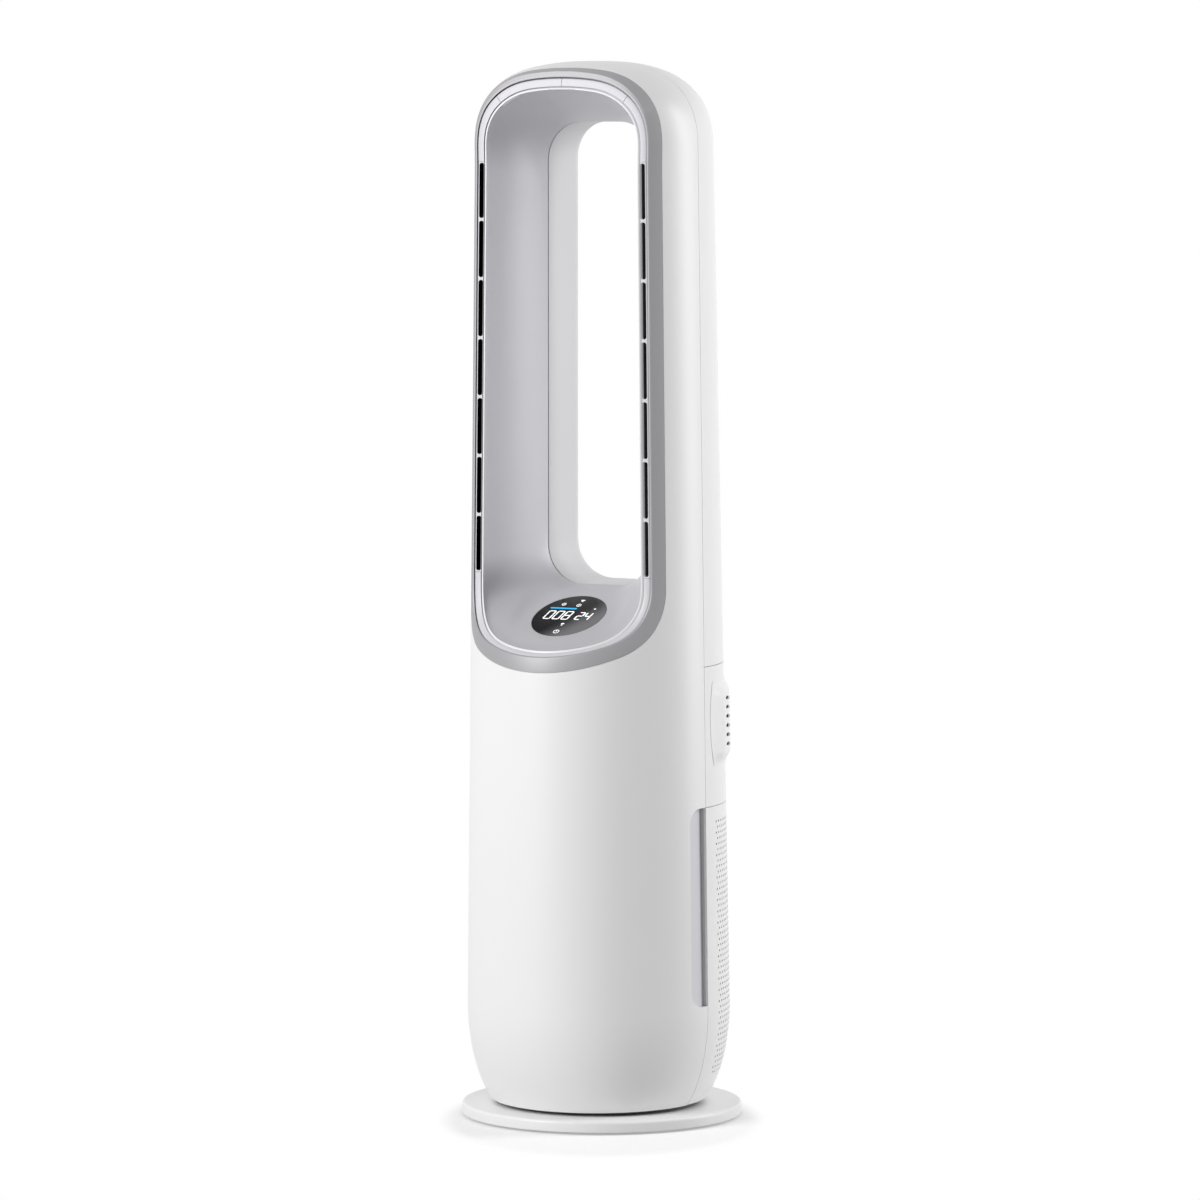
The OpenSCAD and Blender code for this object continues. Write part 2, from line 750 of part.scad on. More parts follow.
// Curved blade from radius r0 to r1, leaning back as it goes out
function blade_edge(r0, r1, side) = [for (k = [0:8]) let (r = r0 + (r1 - r0)*k/8, a = 46*k/8)
    [r*cos(a) + side*sin(a), -r*sin(a) + side*cos(a)]];
module impeller() color(dark) at_fan() {
    hub = sweep_up(14, rotor_low_z + 18, impeller_r, rotor_high_z - 2.5);
    shroud = sweep_up(eye_r, rotor_low_z, impeller_r, rotor_high_z - 22);
    difference() {
        union() {
            rotate_extrude($fn = 96) polygon(concat(hub, [[impeller_r, rotor_high_z], [6, rotor_high_z],
                [6, rotor_low_z + 6], [14, rotor_low_z + 6]]));
            rotate_extrude($fn = 96) polygon(concat(shroud,
                reverse(sweep_up(eye_r + 2, rotor_low_z, impeller_r, rotor_high_z - 24))));
            intersection() {
                for (k = [0:blade_n - 1])
                    rotate([0, 0, 360*k/blade_n]) translate([0, 0, rotor_low_z + 1])
                        linear_extrude(rotor_high_z - rotor_low_z - 2)
                            polygon(concat(blade_edge(30, impeller_r - 0.5, -0.9),
                                reverse(blade_edge(30, impeller_r - 0.5, 0.9))));
                rotate_extrude($fn = 96) polygon(concat(
                    [[20, rotor_low_z + 16], [eye_r - 2, rotor_low_z + 6]],
                    [for (p = shroud) if (p[1] > rotor_low_z + 6) [p[0] + 0.5, p[1] - 0.5]],
                    [[impeller_r, rotor_high_z - 1]], reverse([for (p = hub) [p[0], p[1] + 1]])));
            }
        }
        cylinder(h = 2*big, r = shaft_r + 0.02, $fn = 64);
    }
}

module motor_shaft() color(steel) at_fan()
    translate([0, 0, rotor_low_z - 4]) cylinder(h = 98, r = shaft_r, $fn = 64);

module impeller_nut() color(steel) at_fan() translate([0, 0, rotor_low_z]) difference() {
    cylinder(h = 5.8, r = 8, $fn = 6);
    translate([0, 0, -1]) cylinder(h = 8, r = shaft_r + 0.02, $fn = 64);
}

module vane() rotate([90, 0, 90]) linear_extrude(housing_r) polygon(concat(
    [for (k = [0:6]) let (t = k/6) [-22*(1 - t)*(1 - t), 40*t]],
    [for (k = [6:-1:0]) let (t = k/6) [-22*(1 - t)*(1 - t) + 2, 40*t]]));
module diffuser() color(light) at_fan() translate([0, 0, stator_low_z]) {
    pipe(housing_r - 0.2, housing_r - 3, stator_high_z - stator_low_z);
    pipe(cup_r, cup_r - 2, stator_high_z - stator_low_z);
    pipe(cup_r - 1, 9, 2);
    intersection() {
        for (k = [0:vane_n - 1])
            rotate([0, 0, 360*k/vane_n]) translate([cup_r - 1, 0, 2]) vane();
        cylinder(h = big, r = housing_r - 1.5, $fn = 96);
    }
}

module motor() color(steel) at_fan() translate([0, 0, motor_low_z]) difference() {
    union() {
        cylinder(h = 34, r = motor_r, $fn = 96);
        translate([0, 0, -1.5]) cylinder(h = 38, r = 12, $fn = 48);
    }
    translate([0, 0, -5]) cylinder(h = 36, r = shaft_r + fit, $fn = 64);
}
module motor_isolators() color(dark) at_fan() for (z = [motor_low_z + 3, motor_low_z + 24])
    translate([0, 0, z]) pipe(cup_r - 2, motor_r, 4);

module air_splitter() color(light) intersection() {
    front_view(fan_y - housing_r - 0.5, fan_y + housing_r + 0.5)
        polygon([[-50, housing_top_z + 20], [0, housing_top_z], [50, housing_top_z + 20],
            [50, housing_top_z + 22.4], [0, housing_top_z + 2.4], [-50, housing_top_z + 22.4]]);
    body(8);
}

// ---- Filter -----------------------------------------------------------------------------------

// Ends of the half-round filter, degrees from the +X side
filter_a = 10;
module half_round(r_in, r_out, low, high) translate([0, fan_y, low]) rotate([0, 0, filter_a])
    rotate_extrude(angle = 180 - 2*filter_a, $fn = 96)
        translate([r_in, 0]) square([r_out - r_in, high - low]);
cap_t = 4;
tab_z = 175;

post_a = 2;
// What is cut out of the half-round frame between two heights, out to radius r_out
module window(r_out, low, high) translate([0, fan_y, low]) rotate([0, 0, filter_a + post_a])
    rotate_extrude(angle = 180 - 2*filter_a - 2*post_a, $fn = 96)
        translate([filter_in - 2, 0]) square([r_out - filter_in + 2, high - low]);
module filter_frame() color(light) difference() {
    half_round(filter_in, filter_r, filter_low_z, filter_high_z);
    window(filter_r + 2, filter_low_z + cap_t, tab_z - 10);
    window(filter_r - 2.4, filter_low_z + cap_t, filter_high_z - cap_t);
    window(filter_r + 2, tab_z + 10, filter_high_z - cap_t);
}

// Corner k of the zigzag, moved out by `off`
function pleat_corner(k, off) = let (
    a = filter_a + 3 + (174 - 2*filter_a)*k/(2*pleat_n),
    r = (k % 2 == 0 ? filter_in + 5 : filter_r - 4) + off) [r*cos(a), r*sin(a)];
module filter_pleats() color([0.93, 0.93, 0.9]) translate([0, fan_y, filter_low_z + cap_t])
    linear_extrude(filter_high_z - filter_low_z - 2*cap_t)
        polygon(concat([for (k = [0:2*pleat_n]) pleat_corner(k, 0)],
            [for (k = [2*pleat_n:-1:0]) pleat_corner(k, 1.2)]));

module carbon_layer() color(black) difference() {
    half_round(filter_in + 0.5, filter_in + 3.5, filter_low_z + cap_t, filter_high_z - cap_t);
    translate([0, fan_y, 0]) {
        rotate([0, 0, filter_a]) translate([0, -1, 0]) cube([big, 5, big]);
        rotate([0, 0, 180 - filter_a]) translate([0, -4, 0]) cube([big, 5, big]);
    }
}

module filter_tab() color(dark) translate([0, fan_y + filter_r, tab_z]) difference() {
    translate([-9, -1, -10]) cube([18, 9.9, 20]);
    translate([0, -filter_r, -11]) cylinder(h = 22, r = filter_r + seat_gap, $fn = 96);
    translate([-30, 2.2, -7]) cube([60, 4.6, 14]);
}

base_plate();
rubber_feet();
ballast_ring();
base_cover();
ring_gear();
pivot_post();
pivot_retainer();
slide_ring();
base_screws();
cord_gland();
turntable();
chassis();
fan_deck();
front_casing();
rear_casing();
rear_duct();
middle_panel();
ring_trim();
duct_liner();
outlet_left();
outlet_right();
filler_top();
filler_bottom();
display_glass();
display_board();
grip_liner_left();
grip_liner_right();
inlet_bell();
fan_housing();
diffuser();
motor();
motor_isolators();
air_splitter();
main_board();
board_parts();
particle_sensor();
stepper_motor();
casing_screws();
fan_screws();
drive_pinion();
impeller();
motor_shaft();
impeller_nut();
filter_cover();
filter_frame();
filter_pleats();
carbon_layer();
filter_tab();
sensor_cover();
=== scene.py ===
# %% [markdown]
# # A bladeless tower fan
#
# The tower is a leaning, slightly conical column with a rounded foot and a domed top. Its upper half is
# a hollow loop: a silver ring with a slotted air outlet on each side, a grey funnel behind it and a
# white duct that flares to the back. A round display lies in the funnel's sill. The lower half holds a
# filter behind a perforated cover, and the whole tower turns on a flat base disc.
#
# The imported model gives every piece's place. The skins that show are modelled again here with finer
# curves and rounded edges, each in the place of the CAD node that it stands for. The pieces inside keep
# their CAD meshes and get finishes of their own.

# %% Load the frame
import math

import bmesh
import bpy
import numpy as np
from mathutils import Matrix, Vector


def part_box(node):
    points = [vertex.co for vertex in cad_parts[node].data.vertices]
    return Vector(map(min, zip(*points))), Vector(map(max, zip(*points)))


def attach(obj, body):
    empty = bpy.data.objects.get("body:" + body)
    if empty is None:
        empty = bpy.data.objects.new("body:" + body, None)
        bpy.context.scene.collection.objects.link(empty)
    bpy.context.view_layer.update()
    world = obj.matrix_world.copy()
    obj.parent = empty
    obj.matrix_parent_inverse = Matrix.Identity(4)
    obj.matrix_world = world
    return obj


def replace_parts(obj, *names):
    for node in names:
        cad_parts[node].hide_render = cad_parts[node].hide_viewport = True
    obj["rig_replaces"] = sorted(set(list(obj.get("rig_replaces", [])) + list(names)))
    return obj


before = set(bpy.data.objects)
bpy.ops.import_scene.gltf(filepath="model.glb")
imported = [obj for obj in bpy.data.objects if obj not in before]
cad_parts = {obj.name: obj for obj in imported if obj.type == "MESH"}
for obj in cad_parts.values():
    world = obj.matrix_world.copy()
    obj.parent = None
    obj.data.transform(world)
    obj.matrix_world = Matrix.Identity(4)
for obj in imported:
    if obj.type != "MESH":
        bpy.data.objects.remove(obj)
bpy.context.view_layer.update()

# %% [markdown]
# ## Sizes
# Lengths are in millimetres, as on the drawing, and become metres when a mesh is placed. The heights of
# the tower and the base are measured on the frame's own nodes. The rest repeats the drawing's driving
# sizes, because a smooth skin needs the curves behind the CAD's faces and not only their corners.

# %% Sizes: what the frame tells
MM = 0.001
edge_lift = 3.0  # the casings end this much higher over the base disc than in the CAD


def box_mm(node):
    """The lowest and highest corner of a CAD node, in millimetres."""
    low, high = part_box(node)
    return np.array(low) / MM, np.array(high) / MM


tower_low, tower_high = box_mm("front_casing")
base_low, base_high = box_mm("base_cover")
total_h = round(tower_high[2], 1)
casing_low = round(tower_low[2], 1) + edge_lift
base_r = round(base_high[0], 1)
base_h = round(base_high[2], 1)
print("tower", total_h, "mm tall on a base of", 2 * base_r, "mm")

# %% Sizes: the tower
r_low, r_high = 131, 118  # radius above the foot and under the dome
lean, forward = math.radians(0.62), 5.5  # the axis leans to the front and stands ahead of the base's
dome_h, dome_n = 90, 2.6  # height, and how square its curve is
dome_z = total_h - dome_h
foot_top, foot_drop, foot_in = 115, 110, 45  # where the foot's rounding starts, its height and depth
wall = 3
part_y = -21  # the plane where the front casing meets the rear ones
seam_high, seam_low, seam = 455, 316, 0.6  # the middle panel's edges, and the gap along every seam
print("dome from", dome_z, "mm, middle panel from", seam_low, "to", seam_high, "mm")

# %% Sizes: the loop
ring_rear = 70.8  # how far the silver ring's rear edge lies ahead of the middle
sweep_z, sweep_r, sweep_a = 534.5, 76, math.radians(60)  # the arc that carries the front face forward
sweep_y = -ring_rear - sweep_r
throat_x, throat_low, throat_high, throat_r, throat_y = 59.5, 531, 990, 38, -3
flare_y, flare_r, flare_late = 50, 38, 26  # the rear flare starts later at its floor than at its sides
outlet_low, outlet_high, outlet_n, outlet_bar = 545.5, 951, 7, 2.6
print("throat", 2 * throat_x, "mm wide and", throat_high - throat_low, "mm high")

# %% [markdown]
# ## The tower's form
# The body is a solid of revolution about an axis that leans a little to the front. It could be sculpted
# by eye, but then the ring, the strips and the lip would not follow it exactly. So it is written as a
# level function, which says whether a point is inside the form (below 0) or outside (above 0). Every edge
# of the front face is found from it, by walking outwards until the level changes sign.


# %% The tower's form: level
def to_world(x, y, z):
    """From the leaning tower's own frame to the upright one."""
    return (x, y * math.cos(lean) - z * math.sin(lean) - forward, y * math.sin(lean) + z * math.cos(lean))


def to_tower(x, y, z):
    """From the upright frame to the leaning tower's own."""
    y = y + forward
    return (x, y * math.cos(lean) + z * math.sin(lean), z * math.cos(lean) - y * math.sin(lean))


def tower_r(z):
    return r_low + (r_high - r_low) * (z - foot_top) / (dome_z - foot_top)


def level(point, inset=0.0, drop=0.0):
    """Below 0 inside the tower's form, set in by `inset` with its dome lowered by `drop`."""
    x, y, z = to_tower(*point)
    r = math.hypot(x, y)
    if z > dome_z:
        return (r / (r_high - inset)) ** dome_n + ((z - dome_z) / (dome_h - inset - drop)) ** dome_n - 1
    if z > foot_top:
        return r / (tower_r(z) - inset) - 1
    side = max(r - (r_low - foot_in), 0) / (foot_in - inset)
    return side**2 + ((foot_top - z) / (foot_drop - inset)) ** 2 - 1


def face_level(point, inset):
    """The nested forms that the front face's lips and strips follow: their domes sink a little more."""
    return level(point, inset, 2.8 + 0.4 * inset if inset > 0 else 0)


print("level on the axis at half height:", round(level((0, 0, total_h / 2)), 3))

# %% The tower's form: outline
foot_arc = math.radians(68)
rows_dome = 34


def outline(inset, low, high, rows_foot=18, rows_side=26):
    """Half outline (r, z) of the form in the tower's own frame, from height `low` up to `high`."""
    points = []
    for k in range(rows_foot + 1):
        a = foot_arc * (1 - k / rows_foot)
        r = r_low - foot_in + (foot_in - inset) * math.cos(a)
        points.append((r, foot_top - (foot_drop - inset) * math.sin(a)))
    points += [(tower_r(z) - inset, z) for z in np.linspace(foot_top, dome_z, rows_side + 2)[1:-1]]
    for k in range(rows_dome + 1):
        a = math.pi / 2 * k / rows_dome
        r = (r_high - inset) * math.cos(a) ** (2 / dome_n) if k < rows_dome else 0
        points.append((r, dome_z + (dome_h - inset) * math.sin(a) ** (2 / dome_n)))
    radii, heights = zip(*points)
    line = [p for p in points if low < p[1] < high]
    if low > heights[0]:
        line.insert(0, (float(np.interp(low, heights, radii)), low))
    if high < heights[-1]:
        line.append((float(np.interp(high, heights, radii)), high))
    return line


print("outline:", len(outline(0, casing_low, total_h)), "points from foot to top")

# %% [markdown]
# ### The loop's squarer front
# The loop's front is a little squarer than the dome behind it: its top is flatter and its shoulders stand
# out. The level function has one shape for the whole dome, and a second one for the front would leave a
# step at the part line. Instead `square_up` moves a finished mesh's points in or out about the dome's
# middle, fully at the ring and not at all where the front casing meets the rear one.

# %% The loop's squarer front
square_by = 1.5
square_depth = 40  # over this depth behind the ring the change fades out
dome_middle = dome_z - 20


def smooth(t):
    """A soft step from 0 to 1."""
    t = min(max(t, 0.0), 1.0)
    return t * t * (3 - 2 * t)


def square_up(obj):
    """Moves the shoulders out and the crown in. Angles are in degrees above the horizontal."""
    for vertex in obj.data.vertices:
        x, y, z = vertex.co / MM
        if z <= dome_middle or y >= part_y:
            continue
        angle = math.degrees(math.atan2(z - dome_middle, abs(x)))
        out = square_by * smooth((78 - angle) / 28) * smooth(angle / 40)
        out -= square_by * smooth((angle - 55) / 35)
        move = out * smooth((part_y - y) / square_depth) / math.hypot(x, z - dome_middle)
        vertex.co = Vector((x + x * move, y, z + (z - dome_middle) * move)) * MM


print("the front's shoulders stand out by up to", square_by, "mm")

# %% [markdown]
# ## Modelling tools
# A few helpers drive Blender's own operators. An operator acts on all that is selected, so each helper
# first deselects everything and then picks what it works on. The first four go in and out of edit mode.


# %% Modelling tools: selecting
def deselect():
    if bpy.context.object and bpy.context.object.mode != "OBJECT":
        bpy.ops.object.mode_set(mode="OBJECT")
    bpy.ops.object.select_all(action="DESELECT")


def pick(obj):
    deselect()
    obj.select_set(True)
    bpy.context.view_layer.objects.active = obj


def edit(obj):
    pick(obj)
    bpy.ops.object.mode_set(mode="EDIT")
    bpy.ops.mesh.select_all(action="SELECT")


def done():
    bpy.ops.object.mode_set(mode="OBJECT")


deselect()
print("deselected", len(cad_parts), "CAD nodes")

# %% [markdown]
# `loft` starts from a circle and extrudes it ring by ring. The skin could be built face by face from
# lists, but the operator joins the rings by itself, which leaves less to go wrong. The doubles are merged
# before the faces are turned outwards.

# %% Modelling tools: loft
MERGE = 0.00001


def loft(name, rings, closed=False, caps=False):
    """A skin through rings of points in millimetres. A closed loft ends where it began."""
    deselect()
    rings = [np.array(ring, float) * MM for ring in rings]
    bpy.ops.mesh.primitive_circle_add(vertices=len(rings[0]), radius=0.01)
    obj = bpy.context.object
    obj.name = obj.data.name = name
    for vertex, place in zip(obj.data.vertices, rings[0]):
        vertex.co = place
    edit(obj)
    if caps:
        bpy.ops.mesh.edge_face_add()
    for ring in rings[1:] + (rings[:1] if closed else []):
        bpy.ops.mesh.extrude_region_move()
        mesh = bmesh.from_edit_mesh(obj.data)
        for vertex, place in zip([v for v in mesh.verts if v.select], ring):
            vertex.co = place
    if caps:
        bpy.ops.mesh.select_all(action="DESELECT")
        bpy.ops.mesh.select_non_manifold()
        bpy.ops.mesh.edge_face_add()
    bpy.ops.mesh.select_all(action="SELECT")
    bpy.ops.mesh.remove_doubles(threshold=MERGE)
    bpy.ops.mesh.normals_make_consistent(inside=False)
    done()
    return obj


print("points closer than", MERGE / MM, "mm are merged")

# %% [markdown]
# `turn` spins a closed outline about the tower's axis. A Screw modifier would do the same, but the spin
# operator needs nothing to be applied. The mesh is spun upright and leant over as a whole afterwards.


# %% Modelling tools: turn
def turn(name, points, steps=192, leaning=True):
    """A closed outline of (r, z) points spun about the tower's axis, or about the upright one."""
    deselect()
    bpy.ops.mesh.primitive_circle_add(vertices=len(points), radius=0.01)
    obj = bpy.context.object
    obj.name = obj.data.name = name
    for vertex, (r, z) in zip(obj.data.vertices, points):
        vertex.co = (0, r * MM, z * MM)
    edit(obj)
    bpy.ops.mesh.spin(steps=steps, angle=2 * math.pi, center=(0, 0, 0), axis=(0, 0, 1))
    bpy.ops.mesh.select_all(action="SELECT")
    bpy.ops.mesh.remove_doubles(threshold=MERGE)
    bpy.ops.mesh.delete_loose(use_verts=True, use_edges=True, use_faces=False)
    bpy.ops.mesh.select_all(action="SELECT")
    bpy.ops.mesh.normals_make_consistent(inside=False)
    done()
    if leaning:
        obj.rotation_euler = (lean, 0, 0)
        obj.location = (0, -forward * MM, 0)
        bpy.ops.object.transform_apply()
    return obj


print("the tower leans", round(math.degrees(lean), 2), "degrees to the front")

# %% [markdown]
# `slice_off` bisects along a plane and closes the cut, `cut` applies a boolean with another solid, and
# `join` makes one piece of several. A bisect is exact and quick, so every straight seam uses it, and the
# boolean is kept for windows, slots and recesses.

# %% Modelling tools: slicing, cutting and joining
BISECT = 0.000001


def slice_off(obj, point, normal, fill=True):
    """Cuts off what lies beyond the plane, on the side that the normal points to."""
    edit(obj)
    bpy.ops.mesh.bisect(
        plane_co=Vector(point) * MM, plane_no=normal, use_fill=fill, clear_outer=True, threshold=BISECT
    )
    done()
    return obj


def cut(obj, tool, operation="DIFFERENCE"):
    """Applies a boolean and removes the tool."""
    pick(obj)
    modifier = obj.modifiers.new("cut", "BOOLEAN")
    modifier.object = tool
    modifier.operation = operation
    modifier.solver = "EXACT"
    bpy.ops.object.modifier_apply(modifier=modifier.name)
    bpy.data.objects.remove(tool)
    return obj


def join(obj, *others):
    pick(obj)
    for other in others:
        other.select_set(True)
    bpy.ops.object.join()
    return obj


print("bisect tolerance", BISECT / MM, "mm")

# %% [markdown]
# ## Finishes
# Every finish starts from the Principled shader. Sums on sockets are written as Python expressions: a
# `Value` wraps a socket, and each operator adds a Math node. Wiring every node by hand would take many
# more lines and hide what the finish does.


# %% Finishes: sums on sockets
class Value:
    """A number or colour on a socket. Arithmetic on it adds Math nodes."""

    def __init__(self, wiring, socket):
        self.wiring, self.socket = wiring, socket

    def __add__(self, other):
        return self.wiring.math("ADD", self, other)

    def __radd__(self, other):
        return self.wiring.math("ADD", other, self)

    def __sub__(self, other):
        return self.wiring.math("SUBTRACT", self, other)

    def __rsub__(self, other):
        return self.wiring.math("SUBTRACT", other, self)

    def __mul__(self, other):
        return self.wiring.math("MULTIPLY", self, other)

    def __rmul__(self, other):
        return self.wiring.math("MULTIPLY", other, self)


def rgba(color):
    """A plain colour gets full opacity. A Value is left as it is."""
    return color if isinstance(color, Value) else (*color, 1)


print("a Value can be added, subtracted and multiplied")

# %% Finishes: a node tree
class Wiring:
    """A node tree under construction."""

    def __init__(self, tree):
        self.tree = tree

    def link(self, node, key, value):
        """Feeds a socket from another one, or sets it to a plain value."""
        value = value.socket if isinstance(value, Value) else value
        if isinstance(value, bpy.types.NodeSocket):
            self.tree.links.new(value, node.inputs[key])
        else:
            node.inputs[key].default_value = value

    def node(self, kind, settings, inputs, output=0):
        """Adds a node, sets it up, feeds its sockets and gives one of its outputs."""
        node = self.tree.nodes.new("ShaderNode" + kind)
        for key, setting in settings.items():
            setattr(node, key, setting)
        for key, value in inputs.items():
            self.link(node, key, value)
        return Value(self, node.outputs[output])

    def math(self, operation, *numbers):
        return self.node("Math", {"operation": operation}, dict(enumerate(numbers)))

    def rise(self, value, low, high, start=0.0):
        """Rises softly from `start` to 1 while the value goes from `low` to `high`."""
        inputs = {"Value": value, "From Min": low, "From Max": high, "To Min": start}
        return self.node("MapRange", {"interpolation_type": "SMOOTHERSTEP"}, inputs)

    def seen_directly(self):
        """1 for the camera, and for what mirrors and glass show."""
        rays = self.node("LightPath", {}, {}).socket.node.outputs
        mirrored_too = self.math("MAXIMUM", rays["Is Camera Ray"], rays["Is Glossy Ray"])
        return self.math("MAXIMUM", mirrored_too, rays["Is Transmission Ray"])


print("nodes of every kind come from Wiring.node")

# %% Finishes: a material
class Recipe(Wiring):
    """A material under construction, around one Principled shader."""

    def __init__(self, name, color, roughness, **constants):
        self.material = bpy.data.materials.new(name)
        self.material.use_nodes = True
        self.material.diffuse_color = rgba(color)
        super().__init__(self.material.node_tree)
        self.shader = self.tree.nodes["Principled BSDF"]
        self.link(self.shader, "Base Color", rgba(color))
        self.link(self.shader, "Roughness", roughness)
        for socket, constant in constants.items():
            self.link(self.shader, socket.replace("_", " "), constant)

    def place(self):
        """Object coordinates, in metres."""
        return self.node("TexCoord", {}, {}, output="Object")

    def axes(self):
        """The object coordinates as three numbers."""
        split = self.node("SeparateXYZ", {}, {0: self.place()}).socket.node
        return [Value(self, socket) for socket in split.outputs]

    def noise(self, scale, detail):
        return self.node("TexNoise", {}, {"Vector": self.place(), "Scale": scale, "Detail": detail})

    def cells(self, scale):
        """The distance to the nearest of many scattered points."""
        return self.node("TexVoronoi", {}, {"Vector": self.place(), "Scale": scale}, output="Distance")

    def blend(self, factor, first, second):
        """Mixes two colours."""
        inputs = {0: factor, 6: rgba(first), 7: rgba(second)}
        return self.node("Mix", {"data_type": "RGBA"}, inputs, output=2)

    def color(self, value):
        self.link(self.shader, "Base Color", value)
        return self

    def rough(self, value):
        self.link(self.shader, "Roughness", value)
        return self

    def bump(self, height, distance, strength):
        bump = self.node("Bump", {}, {"Height": height, "Distance": distance, "Strength": strength})
        self.link(self.shader, "Normal", bump)
        return self


print("every finish starts as a Recipe")

# %% [markdown]
# ### Moulded plastic
# Almost everything that shows is injection-moulded plastic. A single flat colour would look like paint in
# a drawing, because moulded plastic is never quite even: its colour drifts a little over a large panel,
# its roughness varies, and a fine spark-eroded texture breaks up the highlight. Two noises do this.


# %% Finishes: moulded plastic
def shade(color, factor):
    return tuple(c * factor for c in color)


def moulded(name, color, roughness):
    """Injection-moulded plastic with a fine texture."""
    recipe = Recipe(name, color, roughness)
    drift = recipe.noise(6.0, 1.0)
    recipe.color(recipe.blend(drift, shade(color, 0.985), shade(color, 1.01)))
    texture = recipe.noise(1400.0, 2.0)
    recipe.rough(roughness - 0.03 + texture * 0.06)
    return recipe.bump(texture, 0.00003, 0.35).material


white = moulded("white_casing", (0.87, 0.87, 0.87), 0.38)
soft_white = moulded("light_strip", (0.66, 0.65, 0.69), 0.4)
# Painted shade: the duct's white is darker than the casing's, standing in for the shade inside the duct.
duct_white_painted_shade = moulded("duct_white_painted_shade", (0.64, 0.64, 0.65), 0.4)
lip_white = moulded("lip", (0.86, 0.86, 0.88), 0.35)
# Painted shade: a grey for the flange's face in the finger recess, where the white lies in shade.
recess_painted_shade = moulded("recess_step_painted_shade", (0.6, 0.6, 0.61), 0.45)
light_plastic = moulded("light_inner_plastic", (0.62, 0.62, 0.64), 0.5)
dark_plastic = moulded("dark_inner_plastic", (0.05, 0.05, 0.055), 0.45)
circuit = moulded("circuit_board", (0.02, 0.12, 0.05), 0.45)
print("moulded plastics done")

# %% [markdown]
# ### Metal and rubber
# The plates, shafts and screws are rolled or turned steel, with fine lines across one axis. A noise that
# is stretched by a Mapping node gives such lines, and they vary the colour, the roughness and the bump
# together, as real tool marks do. Rubber is dull, and a fine noise keeps it from looking like plastic.


# %% Finishes: metal and rubber
def metal(name, color, roughness):
    recipe = Recipe(name, color, roughness, Metallic=1.0)
    mapped = recipe.node("Mapping", {}, {"Vector": recipe.place(), "Scale": (1.0, 1.0, 60.0)})
    lines = recipe.node("TexNoise", {}, {"Vector": mapped, "Scale": 60.0, "Detail": 4.0})
    recipe.rough(roughness - 0.08 + lines * 0.16)
    recipe.color(recipe.blend(lines, shade(color, 0.9), shade(color, 1.08)))
    return recipe.bump(lines, 0.00003, 0.3).material


def rubber(name, color):
    recipe = Recipe(name, color, 0.8)
    texture = recipe.noise(900.0, 4.0)
    recipe.color(recipe.blend(texture, shade(color, 0.8), shade(color, 1.25)))
    return recipe.bump(texture, 0.0001, 0.5).material


steel = metal("steel", (0.5, 0.5, 0.52), 0.35)
cast_iron = metal("cast_iron", (0.09, 0.09, 0.1), 0.6)
black_rubber = rubber("black_rubber", (0.02, 0.02, 0.022))
print("metals and rubber done")

# %% [markdown]
# ### Silver paints and painted shade
# The ring and the funnel are sprayed. The ring's paint holds tiny flakes, which small random cells stand
# for. The funnel's paint is satin. Its colour carries painted shade: the sill and the underside of the arch
# are darker than the upright walls, blended by height.


# %% Finishes: silver paints
def painted_silver(name, color, roughness, metallic):
    recipe = Recipe(name, color, roughness, Metallic=metallic)
    flakes = recipe.cells(2600.0)
    recipe.color(recipe.blend(flakes, shade(color, 1.02), shade(color, 0.96)))
    return recipe.rough(roughness - 0.03 + flakes * 0.06).material


def funnel_paint_and_shade():
    light, sill_painted_shade, arch_painted_shade = (0.9, 0.895, 0.93), (0.52, 0.515, 0.54), (0.64, 0.635, 0.665)
    recipe = Recipe("liner_paint_and_shade", light, 0.45)
    _, _, height = recipe.axes()
    # Painted shade: lit and shaded tones of one grey, light on the walls and darker on the sill and under the
    # arch.
    above_sill = recipe.rise(height, 0.526, 0.57)
    under_arch = recipe.rise(height, 0.93, 0.99)
    tone = recipe.blend(above_sill, sill_painted_shade, light)
    return recipe.color(recipe.blend(under_arch, tone, arch_painted_shade)).material


ring_silver = painted_silver("ring_paint", (0.37, 0.365, 0.38), 0.45, 0.2)
liner_silver = funnel_paint_and_shade()
print("silver paints done")

# %% [markdown]
# ### The slots' dark walls
# The slots are dark grey at the mouth and black a few millimetres in. The channel behind them is too
# shallow to go black by itself, so painted shade in the wall's colour fades it to black with its depth.


# %% Finishes: the slots' dark walls
def slot_wall_painted_shade():
    mouth, deep = -0.0825, -0.0765
    recipe = Recipe("slot_wall", (0.035, 0.035, 0.037), 0.4)
    _, y, _ = recipe.axes()
    # Painted shade: the wall's colour goes from dark grey at the mouth to black deeper in.
    painted_shade_depth = recipe.node("MapRange", {}, {"Value": y, "From Min": mouth, "From Max": deep})
    return recipe.color(recipe.blend(painted_shade_depth, (0.04, 0.04, 0.042), (0.0, 0.0, 0.0))).material


slot_wall = slot_wall_painted_shade()
print("slot walls done")

# %% [markdown]
# ### Paper, carbon and tape
# The filter has fibrous paper pleats, a mat of carbon grains and a pull tab of woven tape. Fibres are a
# detailed noise, grains are random cells, and a weave is the product of two sine waves at right angles.


# %% Finishes: paper, carbon and tape
def filter_paper():
    recipe = Recipe("filter_paper", (0.8, 0.8, 0.76), 0.95)
    fibres = recipe.noise(700.0, 6.0)
    recipe.color(recipe.blend(fibres, (0.72, 0.72, 0.68), (0.86, 0.86, 0.83)))
    return recipe.bump(fibres, 0.0002, 0.6).material


def carbon_mat():
    recipe = Recipe("carbon_mat", (0.02, 0.02, 0.02), 0.9)
    grains = recipe.cells(420.0)
    recipe.color(recipe.blend(grains, (0.05, 0.05, 0.05), (0.004, 0.004, 0.004)))
    return recipe.bump(grains, 0.0006, 0.8).material


